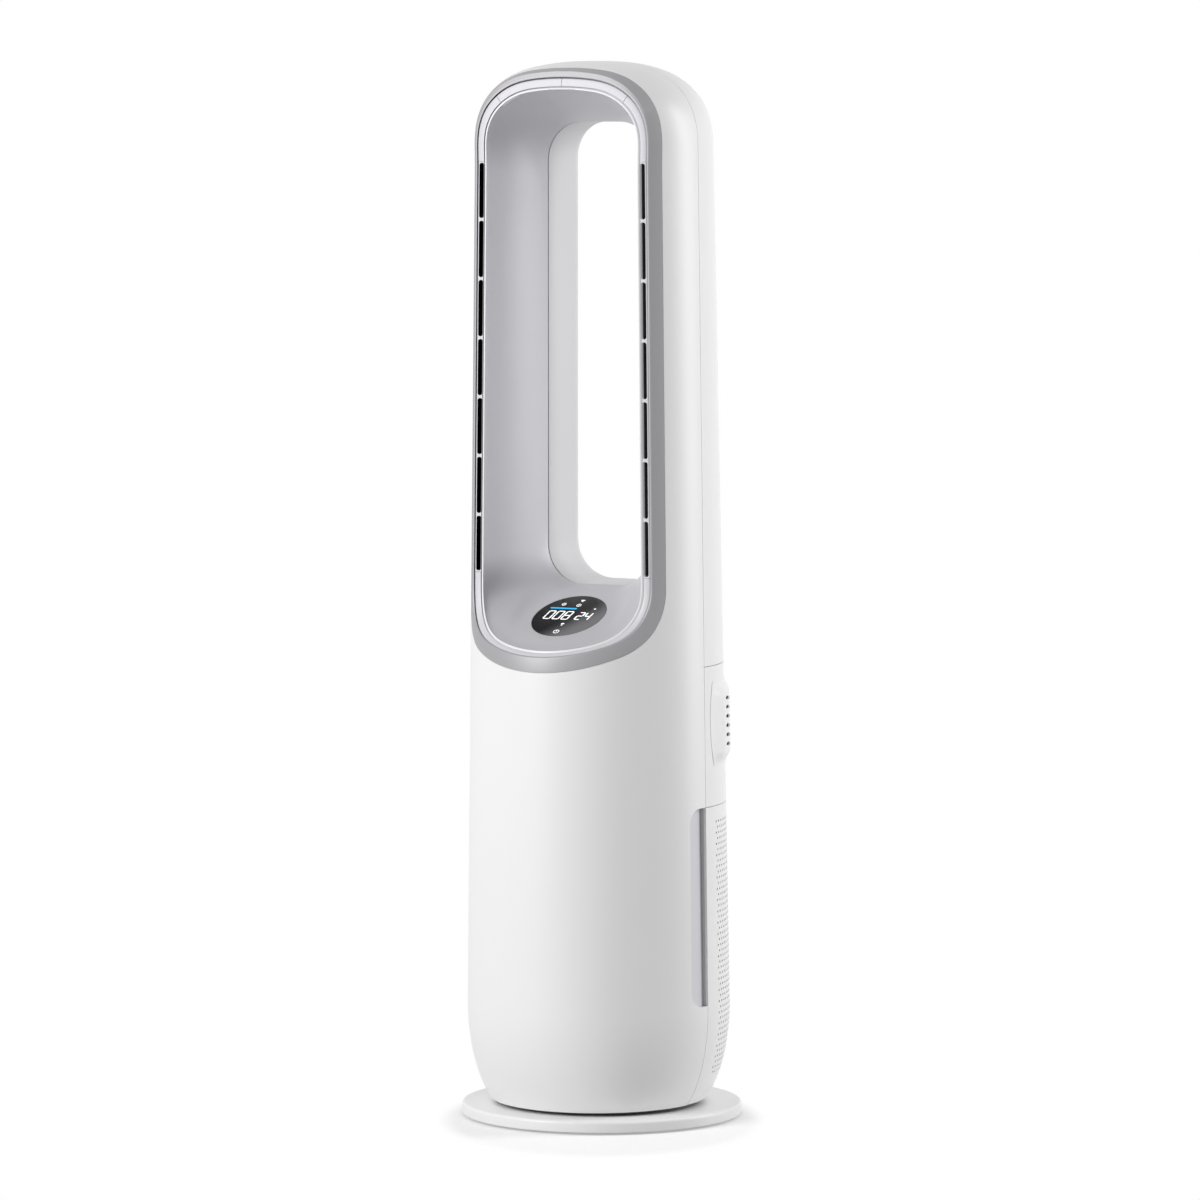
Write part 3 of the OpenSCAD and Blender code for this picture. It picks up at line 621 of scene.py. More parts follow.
def woven_tape():
    recipe = Recipe("woven_tape", (0.06, 0.06, 0.07), 0.85)
    x, _, z = recipe.axes()
    weave = recipe.math("SINE", x * 6000.0) * recipe.math("SINE", z * 6000.0)
    recipe.color(recipe.blend(weave * 0.5 + 0.5, (0.03, 0.03, 0.035), (0.09, 0.09, 0.1)))
    return recipe.bump(weave, 0.0002, 0.7).material


paper, carbon, tape = filter_paper(), carbon_mat(), woven_tape()
print("paper, carbon and tape done")

# %% [markdown]
# ## Inner pieces
# The fan, the boards, the drive and the filter have their final shape in the frame already. They show
# only when a cover is off, so they are not modelled again. Filling their material slots finishes them.

# %% Inner pieces
inner = {
    steel: "base_plate pivot_post base_screws casing_screws fan_screws motor motor_shaft impeller_nut"
    " stepper_motor",
    cast_iron: "ballast_ring",
    black_rubber: "rubber_feet cord_gland motor_isolators",
    light_plastic: "chassis fan_deck inlet_bell fan_housing diffuser air_splitter filter_frame ring_gear"
    " drive_pinion",
    dark_plastic: "pivot_retainer slide_ring turntable board_parts particle_sensor impeller",
    circuit: "main_board display_board",
    paper: "filter_pleats",
    carbon: "carbon_layer",
    tape: "filter_tab",
}
for material, names in inner.items():
    for name in names.split():
        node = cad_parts[name]
        node.data.materials.clear()
        node.data.materials.append(material)
print("finished", sum(len(names.split()) for names in inner.values()), "inner pieces")

# %% [markdown]
# ### From a mesh to a piece of the fan
# A modelled mesh becomes a piece in four steps. It is shaded smooth up to a set angle, gets its finishes,
# rides on the body that moves it, and takes the place of its CAD node. One helper does this for every
# piece, so that none is forgotten.


# %% From a mesh to a piece of the fan
def finish_piece(obj, body, materials, node, angle=32, extra=False):
    """The piece stands for the CAD node, or is an extra beside it."""
    pick(obj)
    bpy.ops.object.shade_smooth_by_angle(angle=math.radians(angle))
    obj.data.materials.clear()
    for material in materials:
        obj.data.materials.append(material)
    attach(obj, body)
    if not extra:
        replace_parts(obj, node)
    print(f"{obj.name}: {len(obj.data.polygons)} faces")


# %% [markdown]
# ## The base disc
# A flat moulded cover over a steel plate. Its edge is a wide soft rounding above a short upright skirt. A
# cylinder with a bevel would do for the top, but not for the hollow underside, so the whole section is
# drawn once, with arcs for the edges, and spun.


# %% The base disc
def arc(cx, cz, r, start, end, steps=8):
    """Points on an arc, in degrees from the r axis."""
    angles = [math.radians(a) for a in np.linspace(start, end, steps + 1)]
    return [(cx + r * math.cos(a), cz + r * math.sin(a)) for a in angles]


disc_hole, disc_wall, disc_edge, disc_inner_edge, disc_chamfer = 35, 2.2, 3.2, 1.5, 0.6
base_floor = base_low[2]
base_outline = [(disc_hole, base_h)] + arc(base_r - disc_edge, base_h - disc_edge, disc_edge, 90, 0)
base_outline += [(base_r, base_floor + disc_chamfer), (base_r - disc_chamfer, base_floor)]
base_outline += [(base_r - disc_wall, base_floor)]
inner_r, inner_top = base_r - disc_wall - disc_inner_edge, base_h - disc_wall - disc_inner_edge
base_outline += arc(inner_r, inner_top, disc_inner_edge, 0, 90, 4) + [(disc_hole, base_h - disc_wall)]
finish_piece(turn("base_disc", base_outline, 240, leaning=False), "base", [white], "base_cover")

# %% [markdown]
# ## The casings
# The real tower has four casings that meet at hairline seams. Modelled one by one, they would be hard to
# line up. So all four come from one shell, a half outline and the same outline set in by the wall, spun
# about the leaning axis. Slicing it along the seams leaves an even gap between the pieces.


# %% The casings: one shell
def shell(name, low, high, inset=0.0, thick=wall):
    outer, inside = outline(inset, low, high), outline(inset + thick, low, high)
    return turn(name, outer + inside[::-1])


def solid(name, low, high, inset):
    """The form as a closed solid, to cut or trim with."""
    line = outline(inset, low, high)
    return turn(name, [(0, low)] + line + ([(0, high)] if line[-1][0] > 0 else []))


def keep_rear(obj, fill=True):
    """Cuts off what lies ahead of the rear casings' front edge."""
    return slice_off(obj, (0, part_y + seam, 0), (0, -1, 0), fill)


def prism(name, points, low, high):
    """A straight bar along X, from its section in Y and Z."""
    return loft(name, [[(x, y, z) for y, z in points] for x in (low, high)], caps=True)


print("shells are", wall, "mm thick, with seams of", seam, "mm")

# %% [markdown]
# ### The front casing
# The front casing is one tall moulding. Its face is cut away beside the loop by an upright plane, which
# sweeps forward in an arc below the opening. On each flank a long recess lets the fingers reach the
# filter cover. Both cuts are straight bars across the tower, so a prism and a boolean make each of them.

# %% The front casing: its two cutters
grip_low, grip_high, grip_front, grip_r = 119, 316, -45.5, 15
face_reach, face_far, side_far = 400, -900, 300


def front_cutter():
    """Everything ahead of the front face: upright beside the loop, then swept forward under it."""
    line = [(-ring_rear, 2 * face_reach + sweep_z), (-ring_rear, sweep_z + 1)]
    for a in np.linspace(0, sweep_a, 25):
        line.append((sweep_y + sweep_r * math.cos(a), sweep_z - sweep_r * math.sin(a)))
    y, z = line[-1]
    line.append((y - face_reach * math.sin(sweep_a), z - face_reach * math.cos(sweep_a)))
    corners = [(face_far, line[0][1])] + line + [(face_far, line[-1][1])]
    return prism("front_cutter", corners, -side_far, side_far)


def grip_outline(wider=0.0):
    """The finger recess from the side, with rounded front corners."""
    r = grip_r + wider
    points = [(part_y, grip_low - wider)]
    points += arc(grip_front + grip_r, grip_low + grip_r, r, 270, 180)
    points += arc(grip_front + grip_r, grip_high - grip_r, r, 180, 90)
    return points + [(part_y, grip_high + wider)]


print("finger recess", grip_high - grip_low, "mm tall and", part_y - grip_front, "mm deep from front to rear")

# %% The front casing
front_casing = shell("front_casing_skin", casing_low, total_h)
slice_off(front_casing, (0, part_y, 0), (0, 1, 0))
cut(front_casing, front_cutter())
cut(front_casing, prism("grips", grip_outline(), -200, 200))
square_up(front_casing)
finish_piece(front_casing, "tower", [white], "front_casing")

# %% [markdown]
# ### The middle panel
# The middle panel closes the rear between the two seams. A window in its right flank lets room air reach
# the particle sensor. The louvred cover hides it, so a plain block with square corners cuts it out.

# %% The middle panel
sensor_angle, sensor_z = math.radians(122), 389.5
window_wide, window_high, window_lift = 102, 62, 6
window_near, window_far = 100, 140


def axis_y(z):
    """Where the leaning axis is at height z."""
    return -forward - z * math.sin(lean)


def window_block():
    """A block across the wall at the sensor, from `window_near` to `window_far` off the axis."""
    deselect()
    bpy.ops.mesh.primitive_cube_add(size=1)
    obj = bpy.context.object
    obj.scale = ((window_far - window_near) * MM, window_wide * MM, window_high * MM)
    bpy.ops.object.transform_apply()
    a, r = sensor_angle - math.pi / 2, (window_near + window_far) / 2
    obj.rotation_euler = (0, 0, a)
    obj.location = Vector((r * math.cos(a), axis_y(sensor_z) + r * math.sin(a), sensor_z + window_lift)) * MM
    bpy.ops.object.transform_apply()
    return obj


middle_panel = keep_rear(shell("middle_panel_skin", seam_low + seam / 2, seam_high - seam / 2))
cut(middle_panel, window_block())
finish_piece(middle_panel, "tower", [white], "middle_panel")

# %% [markdown]
# ## The throat and the rear duct
# Through the loop runs a tall throat with round corners, and behind it the white duct flares out to the
# rear casing. It could be swept along a curve, but the flare starts later at the floor than at the sides.
# So it is lofted from rings. Every ring of the duct and the funnel has its points in the same directions
# from the middle of the loop, and the rings join one to one.

# %% The throat
COUNT = 288
loop_mid = (throat_low + throat_high) / 2
directions = [(math.sin(a), math.cos(a)) for a in 2 * math.pi * np.arange(COUNT) / COUNT]
throat_stretch_x, throat_stretch_z = 100, 285  # the directions are stretched to the loop's proportions


def walk_out(inside, low, high, halvings=32):
    """The farthest t from `low` to `high` that is still inside, found by halving."""
    for _ in range(halvings):
        t = (low + high) / 2
        low, high = (t, high) if inside(t) else (low, t)
    return low


def opening(half, low, high, corner, y):
    """A rounded opening at depth y, one point for each direction."""
    mid, tall = (low + high) / 2, (high - low) / 2

    def inside(x, z):
        qx, qz = abs(x) - (half - corner), abs(z - mid) - (tall - corner)
        return max(qx, qz) < corner if min(qx, qz) < 0 else math.hypot(qx, qz) < corner

    ring = []
    for sx, sz in directions:
        dx, dz = sx * throat_stretch_x, sz * throat_stretch_z
        t = walk_out(lambda t: inside(t * dx, loop_mid + t * dz), 0.0, 3.0, 30)
        ring.append((t * dx, y, loop_mid + t * dz))
    return ring


print("rings of", COUNT, "points about the height of", loop_mid, "mm")

# %% The rear duct
duct_wall = 2.4
duct_starts = throat_y + 2.0


def flare(d):
    """How far a quarter circle has turned outwards at a distance d past its start."""
    d = min(max(d, 0.0), flare_r)
    return flare_r - math.sqrt(max(flare_r**2 - d**2, 0.0))


def duct_ring(y, wider=0.0):
    side, floor = flare(y - flare_y), flare(y - flare_y - flare_late)
    low, high = throat_low - floor - wider, throat_high + side + wider
    return opening(throat_x + side + wider, low, high, throat_r + side * 0.5 + wider, y)


# A ring every 3 mm while the sides turn outwards, then one every 4 degrees while the floor does.
duct_ys = [duct_starts, flare_y] + [flare_y + k * 3 for k in range(1, 12)]
duct_ys += [flare_y + flare_late + flare_r * math.sin(math.radians(a)) for a in range(16, 91, 4)]
cutter_ys = [-20.0] + duct_ys + [150.0]
duct_cutter = loft("duct_cutter", [duct_ring(y) for y in cutter_ys], caps=True)
rear_casing = keep_rear(shell("rear_casing_skin", seam_high + seam / 2, total_h))
cut(rear_casing, duct_cutter)
finish_piece(rear_casing, "tower", [white], "rear_casing")

duct_rings = [duct_ring(y) for y in duct_ys] + [duct_ring(y, duct_wall) for y in duct_ys[::-1]]
rear_duct = loft("rear_duct_wall", duct_rings, closed=True)
cut(rear_duct, solid("duct_limit", seam_high, total_h, wall), "INTERSECT")
finish_piece(rear_duct, "tower", [duct_white_painted_shade], "rear_duct")

# %% [markdown]
# ## The front face
# The silver ring, the strips and the lip all follow the tower's own outline on the swept front face. A
# curve drawn by hand would drift away from the body, so it is found instead. A point on the face is given
# by its distance from the middle, its height along the sweep and how far it lies ahead of the ring's rear
# edge. `edge` walks outwards in each direction until it meets the nested form at the inset asked for.

# %% The front face
face_stretch_x, face_stretch_z = 100, 300


def on_face(x, s, ahead):
    """A point on the swept face: s is measured up along it from where the sweep begins."""
    if s >= 0:
        return (x, -ring_rear - ahead, sweep_z + s)
    a = min(-s / sweep_r, sweep_a)
    rest = -s - sweep_a * sweep_r if -s > sweep_a * sweep_r else 0.0
    r = sweep_r - ahead
    y = sweep_y + r * math.cos(a) - rest * math.sin(sweep_a)
    return (x, y, sweep_z - r * math.sin(a) - rest * math.cos(sweep_a))


def edge(inset, ahead):
    """The closed curve where the nested form at `inset` meets the swept face at `ahead`."""
    middle = loop_mid - sweep_z

    def along(t, sx, sz):
        return on_face(t * sx * face_stretch_x, middle + t * sz * face_stretch_z, ahead)

    ring = []
    for sx, sz in directions:
        t = walk_out(lambda t: face_level(along(t, sx, sz), inset) < 0, 0.3, 1.6)
        ring.append(along(t, sx, sz))
    return ring


print("front edge at the top:", round(edge(0, 0)[0][2], 1), "mm high")

# %% [markdown]
# ### The silver ring
# The ring is a slim painted frame with a softly rounded front. Its section is a list of (inset, ahead)
# points, from the outer rear corner round the front to the inner rear corner, and one loft closes it.

# %% The silver ring
ring_section = [(0, 0.4), (0, 12.2), (0.35, 12.9), (1.0, 13.2)]
ring_section += [(1.7, 13.05), (2.15, 12.6), (2.4, 11.5), (2.4, 0.4)]
ring_trim = loft("silver_ring", [edge(*p) for p in ring_section], closed=True)
square_up(ring_trim)
finish_piece(ring_trim, "tower", [ring_silver], "ring_trim")

# %% [markdown]
# ### The light strip
# Between the ring and the funnel's lip lies a light strip, made of several lengths. The upper and lower
# ones are slices of one loft round the loop. Thin blades cut the hairline joints where two lengths meet
# in the upper one. Drawn lines would vanish from the side, and a real gap catches the shadow.

# %% The light strip: upper and lower lengths
band_in, band_out, band_front, band_back, band_edge = 3.2, 8.4, 12.6, 8.6, 0.5
strip_gap = 0.3  # between the upper or lower length and the ones at the sides
blade_thick, blade_deep, blade_high, blade_ahead = 0.5, 20, 24, 12


def strip(name):
    section = [(band_in, band_back), (band_in, band_front - band_edge), (band_in + band_edge, band_front)]
    section += [(band_out - band_edge, band_front), (band_out, band_front - band_edge), (band_out, band_back)]
    return loft(name, [edge(*p) for p in section], closed=True)


def seam_blade(x, z, tilt):
    """A thin block that cuts the upper strip where two of its lengths meet."""
    deselect()
    bpy.ops.mesh.primitive_cube_add(size=1)
    obj = bpy.context.object
    obj.scale = (blade_thick * MM, blade_deep * MM, blade_high * MM)
    bpy.ops.object.transform_apply()
    obj.rotation_euler = (0, math.radians(-tilt), 0)
    obj.location = Vector((x, -ring_rear - blade_ahead, z)) * MM
    bpy.ops.object.transform_apply()
    return obj


filler_top = strip("top_strip")
slice_off(filler_top, (0, 0, outlet_high + strip_gap), (0, 0, -1))
square_up(filler_top)
for x, down, tilt in ((0, 18, 0), (-75, 32, 38), (75, 32, -38)):
    cut(filler_top, seam_blade(x, total_h - down, tilt))
finish_piece(filler_top, "tower", [soft_white], "filler_top")

filler_bottom = strip("bottom_strip")
slice_off(filler_bottom, (0, 0, outlet_low - strip_gap), (0, 0, 1))
finish_piece(filler_bottom, "tower", [soft_white], "filler_bottom")

# %% [markdown]
# ### The air outlets
# Along both sides the strip is pierced by seven slots with rounded ends, where the air comes out. The
# sides stand upright, so there the sections are stacked by height instead of going round the loop. Each
# slot is a second stack, narrowed at both ends along a circle, and a boolean subtracts it.

# %% The air outlets: sections stacked by height
slot_in, slot_out = 3.6, 8.1
side_heights = np.linspace(outlet_low, outlet_high, 50)


def side_x(inset, z, ahead):
    """Where the nested form at `inset` meets the upright part of the front face, at height z."""
    y = -ring_rear - ahead
    return walk_out(lambda x: face_level((x, y, z), inset) < 0, 60.0, 140.0)


def upright(name, section, heights, width=lambda z: 1.0):
    """A solid stacked from sections of (inset, ahead) points, narrowed about their middle by `width`."""
    insets = [i for i, _ in section]
    mid = (max(insets) + min(insets)) / 2
    rings = []
    for z in heights:
        rings.append([(side_x(mid + (i - mid) * width(z), z, a), -ring_rear - a, z) for i, a in section])
    return loft(name, rings, caps=True)


print("strip", round(side_x(band_in, outlet_low, band_front), 1), "mm from the middle at its foot")

# %% The air outlets: strip and slots
pitch = (outlet_high - outlet_low + outlet_bar) / outlet_n
end_margin, slot_near, slot_far = 1.3, 8, 20
side_back, side_edge = 11.2, 0.4


def slot_cutter(k):
    """One slot as a solid with rounded ends. The first and the last one stop short of the strip's end."""
    low = outlet_low + k * pitch + (end_margin if k == 0 else 0)
    high = outlet_low + (k + 1) * pitch - outlet_bar - (end_margin if k == outlet_n - 1 else 0)
    r = (slot_out - slot_in) / 2

    def round_end(z):
        return math.sqrt(max(1 - (1 - min(z - low, high - z, r) / r) ** 2, 0.0))

    ends = [r * (1 - math.cos(math.radians(a))) for a in (12, 30, 50, 70, 90)]
    heights = [low + e for e in ends] + list(np.linspace(low, high, 9)[1:-1]) + [high - e for e in ends[::-1]]
    section = [(slot_in, slot_near), (slot_in, slot_far), (slot_out, slot_far), (slot_out, slot_near)]
    return upright("slot", section, heights, round_end)


strip_section = [(band_in, side_back), (band_in, band_front - side_edge), (band_in + side_edge, band_front)]
strip_section += [(band_out - side_edge, band_front), (band_out, band_front - side_edge)]
strip_section += [(band_out, side_back)]
outlet_right = upright("slotted_outlet_right", strip_section, side_heights)
for k in range(outlet_n):
    cut(outlet_right, slot_cutter(k))
print("slots cut:", outlet_n, "in", len(outlet_right.data.polygons), "faces")

# %% [markdown]
# Behind the slots a dark channel leads the air out of the casing. It is a U-shaped section on the same
# heights, joined to the strip as one piece. Its faces come last in the mesh, so their number tells them
# apart and gives them the dark finish with its painted shade.

# %% The air outlets: the channel behind the slots
channel_back, channel_floor = -2.6, -1.8
channel_section = [(band_in, side_back), (band_in, channel_back), (band_out, channel_back)]
channel_section += [(band_out, side_back), (slot_out, side_back), (slot_out, channel_floor)]
channel_section += [(slot_in, channel_floor), (slot_in, side_back)]
channel = upright("channel", channel_section, side_heights)
strip_faces = len(outlet_right.data.polygons)
join(outlet_right, channel)
finish_piece(outlet_right, "tower", [soft_white, slot_wall], "outlet_right")
for polygon in outlet_right.data.polygons:
    polygon.material_index = 0 if polygon.index < strip_faces else 1

# %% [markdown]
# ## The funnel
# The grey liner starts at a bright rolled lip, runs straight inwards and turns in more tightly at the
# throat. Its sill lies flat in the display's plane. A subdivided cage could give the form, but not an
# exact lip. So one loft carries the lip and the funnel, Solidify gives it a wall, and a round hole takes
# the display.

# %% The funnel: its rings
display_r, display_y, display_z, display_tilt = 38, -68.5, 504.1, math.radians(27.3)
crest_y = display_y + display_r * math.cos(display_tilt)
crest_z = display_z + display_r * math.sin(display_tilt)
crest_wider, crest_higher, crest_rounder = 14.5, 16.5, 12
side_reach, sill_reach = 22.7, 9.0  # how tightly the walls and the sill turn into the throat
flat_r, flat_fade = 62, 18  # the sill is flat within this distance of the display's middle
straight_steps, turn_steps = 14, 8
lip = [(9.1, 5.0), (9.1, 12.5), (9.25, 12.95), (9.55, 13.2), (9.95, 13.2), (10.25, 12.95), (10.4, 12.4)]
lip_inner = (10.5, 11.6)


def display_plane(y):
    return display_z + (y - display_y) * math.tan(display_tilt)


def funnel_rings():
    """Straight from the lip to the crest, then round into the throat, with the sill laid flat."""
    first = np.array(edge(*lip_inner))
    corner = throat_r + crest_rounder
    crest = np.array(opening(throat_x + crest_wider, crest_z, throat_high + crest_higher, corner, crest_y))
    throat = np.array(opening(throat_x, throat_low, throat_high, throat_r, throat_y))
    rings = [first + (crest - first) * k / straight_steps for k in range(1, straight_steps + 1)]
    bottom = np.array([smooth((-sz - 0.8) / 0.15) for _, sz in directions])[:, None]
    reach = side_reach * (1 - bottom) + sill_reach * bottom
    control = crest + (crest - first) / (crest - first)[:, 1:2] * reach
    for k in range(1, turn_steps + 1):
        t = k / turn_steps
        rings.append((1 - t) ** 2 * crest + 2 * t * (1 - t) * control + t**2 * throat)
    for ring in rings:
        for point in ring:
            d = math.hypot(point[0], (point[1] - display_y) / math.cos(display_tilt))
            flat = smooth((flat_r - d) / flat_fade) if point[2] < loop_mid else 0.0
            point[2] += flat * (display_plane(point[1]) - point[2])
    return rings


duct_liner = loft("funnel_liner", [edge(*p) for p in lip] + funnel_rings())
square_up(duct_liner)
print("funnel sheet:", len(duct_liner.data.polygons), "faces")

# %% [markdown]
# The sheet gets its wall on the inner side, so that the face that shows stays where it is. The hole for
# the display is a hair wider than the glass. Faces outside the lip's inner edge take the bright finish.

# %% The funnel: wall, hole and finishes
display_place = (0, display_y, display_z)
display_gap, liner_wall = 0.25, 0.9
lip_inset = 10.55


def solidify(obj, thickness):
    """Gives a sheet a wall on its inner side."""
    pick(obj)
    modifier = obj.modifiers.new("wall", "SOLIDIFY")
    modifier.thickness = thickness * MM
    modifier.offset = -1.0
    bpy.ops.object.modifier_apply(modifier=modifier.name)


def lay_in_sill(obj):
    """Takes a piece drawn about the origin to the display's place and tilt."""
    obj.rotation_euler = (display_tilt, 0, 0)
    obj.location = Vector(display_place) * MM
    bpy.ops.object.transform_apply()
    return obj


def sill_disc(name, r, low, high):
    """A round disc square to the sill, from `low` to `high` above it."""
    deselect()
    middle = (0, 0, (low + high) / 2 * MM)
    bpy.ops.mesh.primitive_cylinder_add(vertices=96, radius=r * MM, depth=(high - low) * MM, location=middle)
    obj = bpy.context.object
    obj.name = obj.data.name = name
    bpy.ops.object.transform_apply()
    return lay_in_sill(obj)


solidify(duct_liner, liner_wall)
cut(duct_liner, sill_disc("display_hole", display_r + display_gap, -12, 12))
finish_piece(duct_liner, "tower", [liner_silver, lip_white], "duct_liner", angle=40)
for polygon in duct_liner.data.polygons:
    polygon.material_index = 1 if face_level(polygon.center / MM, lip_inset) > 0 else 0

# %% [markdown]
# ## The second row of outlets
# The left row is the right one's mirror image. It is copied with its own mesh, scaled by -1 and made to
# stand for its own CAD node. A negative scale turns a mesh inside out, so its normals are made again.


# %% The second row of outlets
def mirrored(obj, name, node):
    """The same piece on the left side, in place of another CAD node."""
    pick(obj)
    bpy.ops.object.duplicate()
    copy = bpy.context.object
    copy.name = copy.data.name = name
    copy.scale = (-1, 1, 1)
    bpy.ops.object.transform_apply()
    edit(copy)
    bpy.ops.mesh.normals_make_consistent(inside=False)
    done()
    del copy["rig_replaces"]
    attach(copy, "tower")
    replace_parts(copy, node)
    print(f"{copy.name}: {len(copy.data.polygons)} faces")


mirrored(outlet_right, "slotted_outlet_left", "outlet_left")

# %% [markdown]
# ## The display
# A disc of dark glass with a bevelled rim lies flush in the sill. The glass is almost black, and a painted
# reflection, a soft grey sheen in its colour, lies across its right side. There is nothing in the room for it
# to mirror, so the reflection is painted. The upper face is found by its normal, and its rim is bevelled.


# %% The display: glass
def display_glass_with_painted_reflection():
    black, painted_reflection = (0.006, 0.006, 0.007), (0.2, 0.2, 0.205)
    recipe = Recipe("display_glass", black, 0.1, Specular_IOR_Level=0.15)
    x, y, _ = recipe.axes()
    # Painted reflection: a grey sheen rises across the glass's right side.
    reflection_slant = x * 0.80 - (y - display_y * MM) * 0.62
    return recipe.color(recipe.blend(recipe.rise(reflection_slant, -0.004, 0.034), black, painted_reflection)).material


glass_thick, glass_bevel = 2.0, 0.5
glass = sill_disc("display_disc", display_r, -glass_thick, 0.0)
edit(glass)
bpy.ops.mesh.select_all(action="DESELECT")
mesh = bmesh.from_edit_mesh(glass.data)
up = Vector((0, -math.sin(display_tilt), math.cos(display_tilt)))
for face in mesh.faces:
    if len(face.verts) > 8 and face.normal.dot(up) > 0.9:
        face.select_set(True)
bmesh.update_edit_mesh(glass.data)
bpy.ops.mesh.bevel(offset=glass_bevel * MM, segments=3, affect="EDGES")
done()
finish_piece(glass, "tower", [display_glass_with_painted_reflection()], "display_glass")

# %% [markdown]
# The lit figures are thin plates just above the glass. A text object would bring a font's look, so each
# figure is made of up to seven bars with pointed ends, as on a segment display.

# %% The display: plates, bars and rings
plate_t, plate_lift = 0.12, 0.02


def lit(name, color):
    """A plain light of even strength."""
    return Recipe(name, color, 0.4, Emission_Color=(*color, 1), Emission_Strength=0.55).material


def plate(points):
    """A thin flat plate on the glass, drawn in the display's own plane."""
    deselect()
    bpy.ops.mesh.primitive_circle_add(vertices=len(points), radius=0.01, fill_type="NGON")
    obj = bpy.context.object
    for vertex, (a, b) in zip(obj.data.vertices, points):
        vertex.co = (a * MM, b * MM, plate_lift * MM)
    edit(obj)
    bpy.ops.mesh.extrude_region_move(TRANSFORM_OT_translate={"value": (0, 0, plate_t * MM)})
    bpy.ops.mesh.select_all(action="SELECT")
    bpy.ops.mesh.normals_make_consistent(inside=False)
    done()
    return lay_in_sill(obj)


def bar(ax, ay, bx, by, w):
    """A bar with pointed ends from a to b."""
    length = math.hypot(bx - ax, by - ay)
    ux, uy = (bx - ax) / length, (by - ay) / length
    h = w / 2
    local = [(0, 0), (h, h), (length - h, h), (length, 0), (length - h, -h), (h, -h)]
    return plate([(ax + ux * p - uy * q, ay + uy * p + ux * q) for p, q in local])


def ring_mark(x, y, r, w):
    """A small ring."""
    deselect()
    bpy.ops.mesh.primitive_circle_add(vertices=24, radius=r * MM, fill_type="NGON")
    obj = bpy.context.object
    edit(obj)
    bpy.ops.mesh.inset(thickness=w * MM)
    bpy.ops.mesh.delete(type="FACE")
    bpy.ops.mesh.select_all(action="SELECT")
    bpy.ops.mesh.extrude_region_move(TRANSFORM_OT_translate={"value": (0, 0, plate_t * MM)})
    done()
    obj.location = (x * MM, y * MM, plate_lift * MM)
    bpy.ops.object.transform_apply()
    return lay_in_sill(obj)


white_light = lit("lit_white", (0.9, 0.9, 0.9))
blue_light = lit("lit_blue", (0.02, 0.42, 0.8))
print("plates", plate_t, "mm thick")

# %% The display: figures and marks
SEGMENTS = {"0": "abcdef", "2": "abged", "4": "fgbc", "8": "abcdefg"}
figure_lean = 0.12


def figure(text, left, low, wide, high, w):
    """One segment figure as a list of bars, leaning to the right."""
    mid, top, right = low + high / 2, low + high, left + wide
    ends = {"a": (left, top, right, top), "g": (left, mid, right, mid), "d": (left, low, right, low)}
    ends.update({"f": (left, mid, left, top), "e": (left, low, left, mid)})
    ends.update({"b": (right, top, right, mid), "c": (right, mid, right, low)})
    bars = []
    for segment in SEGMENTS[text]:
        ax, ay, bx, by = ends[segment]
        bars.append(bar(ax + (ay - low) * figure_lean, ay, bx + (by - low) * figure_lean, by, w))
    return bars


marks = []
for k, text in enumerate("008"):
    marks += figure(text, -26.4 + k * 9.9, -6.4, 6.9, 14.4, 1.5)
for k, text in enumerate("24"):
    marks += figure(text, 8.2 + k * 8.5, -5.8, 5.8, 12.8, 1.45)
marks += [ring_mark(-15.6, 21.0, 2.4, 0.7), bar(-16.8, 21.0, -14.4, 21.0, 0.9)]  # mode
marks += [ring_mark(1.4, 20.2, 2.6, 0.7), bar(1.4, 19.2, 1.4, 22.0, 0.8)]  # timer
marks += [bar(-0.6, 29.6, 4.4, 29.6, 1.6), bar(0.6, 27.6, 3.2, 27.6, 1.2)]  # airflow
marks += [bar(20.8, 14.6, 23.6, 14.6, 1.8)]  # degrees
marks += [bar(-2.0, -14.6, 2.0, -14.6, 2.0), bar(-1.2, -17.2, 1.2, -17.2, 1.6)]  # night
marks += [ring_mark(-0.2, -29.4, 3.2, 0.8), bar(-0.2, -29.8, -0.2, -26.8, 0.9)]  # power
figures = join(marks[0], *marks[1:])
figures.name = figures.data.name = "display_figures"
finish_piece(figures, "tower", [white_light], "display_glass", extra=True)

level_bar = bar(-27.6, 13.6, 2.6, 13.6, 2.2)
level_bar.name = level_bar.data.name = "display_level_bar"
finish_piece(level_bar, "tower", [blue_light], "display_glass", extra=True)

# %% [markdown]
# ## The finger recesses
# A recess is a shallow ramp that sinks towards the filter cover's flange, so that two fingers can pull the
# cover off. A flat floor would look pressed in. Its floor is the tower's own form instead, moved inwards
# and forwards and trimmed to the recess outline, and a thin rim closes the wall around it.

# %% The finger recesses
grip_in, grip_ahead, grip_thick = 5.7, 27.3, 4.0
ramp_low, ramp_high, ramp_side = 100, 330, 60
rim_wide, rim_deep, rim_near, rim_far = 2.0, 15.0, 60, 200
front_side = part_y - 0.1  # a hair ahead of the part plane


def keep_front(obj):
    return slice_off(obj, (0, front_side, 0), (0, 1, 0))


ramp = shell("ramp", ramp_low, ramp_high, 0.0, grip_thick)
ramp.location = (-grip_in * MM, -grip_ahead * MM, 0)
pick(ramp)
bpy.ops.object.transform_apply()
slice_off(ramp, (ramp_side, 0, 0), (-1, 0, 0))
keep_front(ramp)
grip_floor = cut(ramp, prism("grip_limit", grip_outline(-0.15), -200, 200), "INTERSECT")
grip_floor.name = grip_floor.data.name = "grip_floor_right"

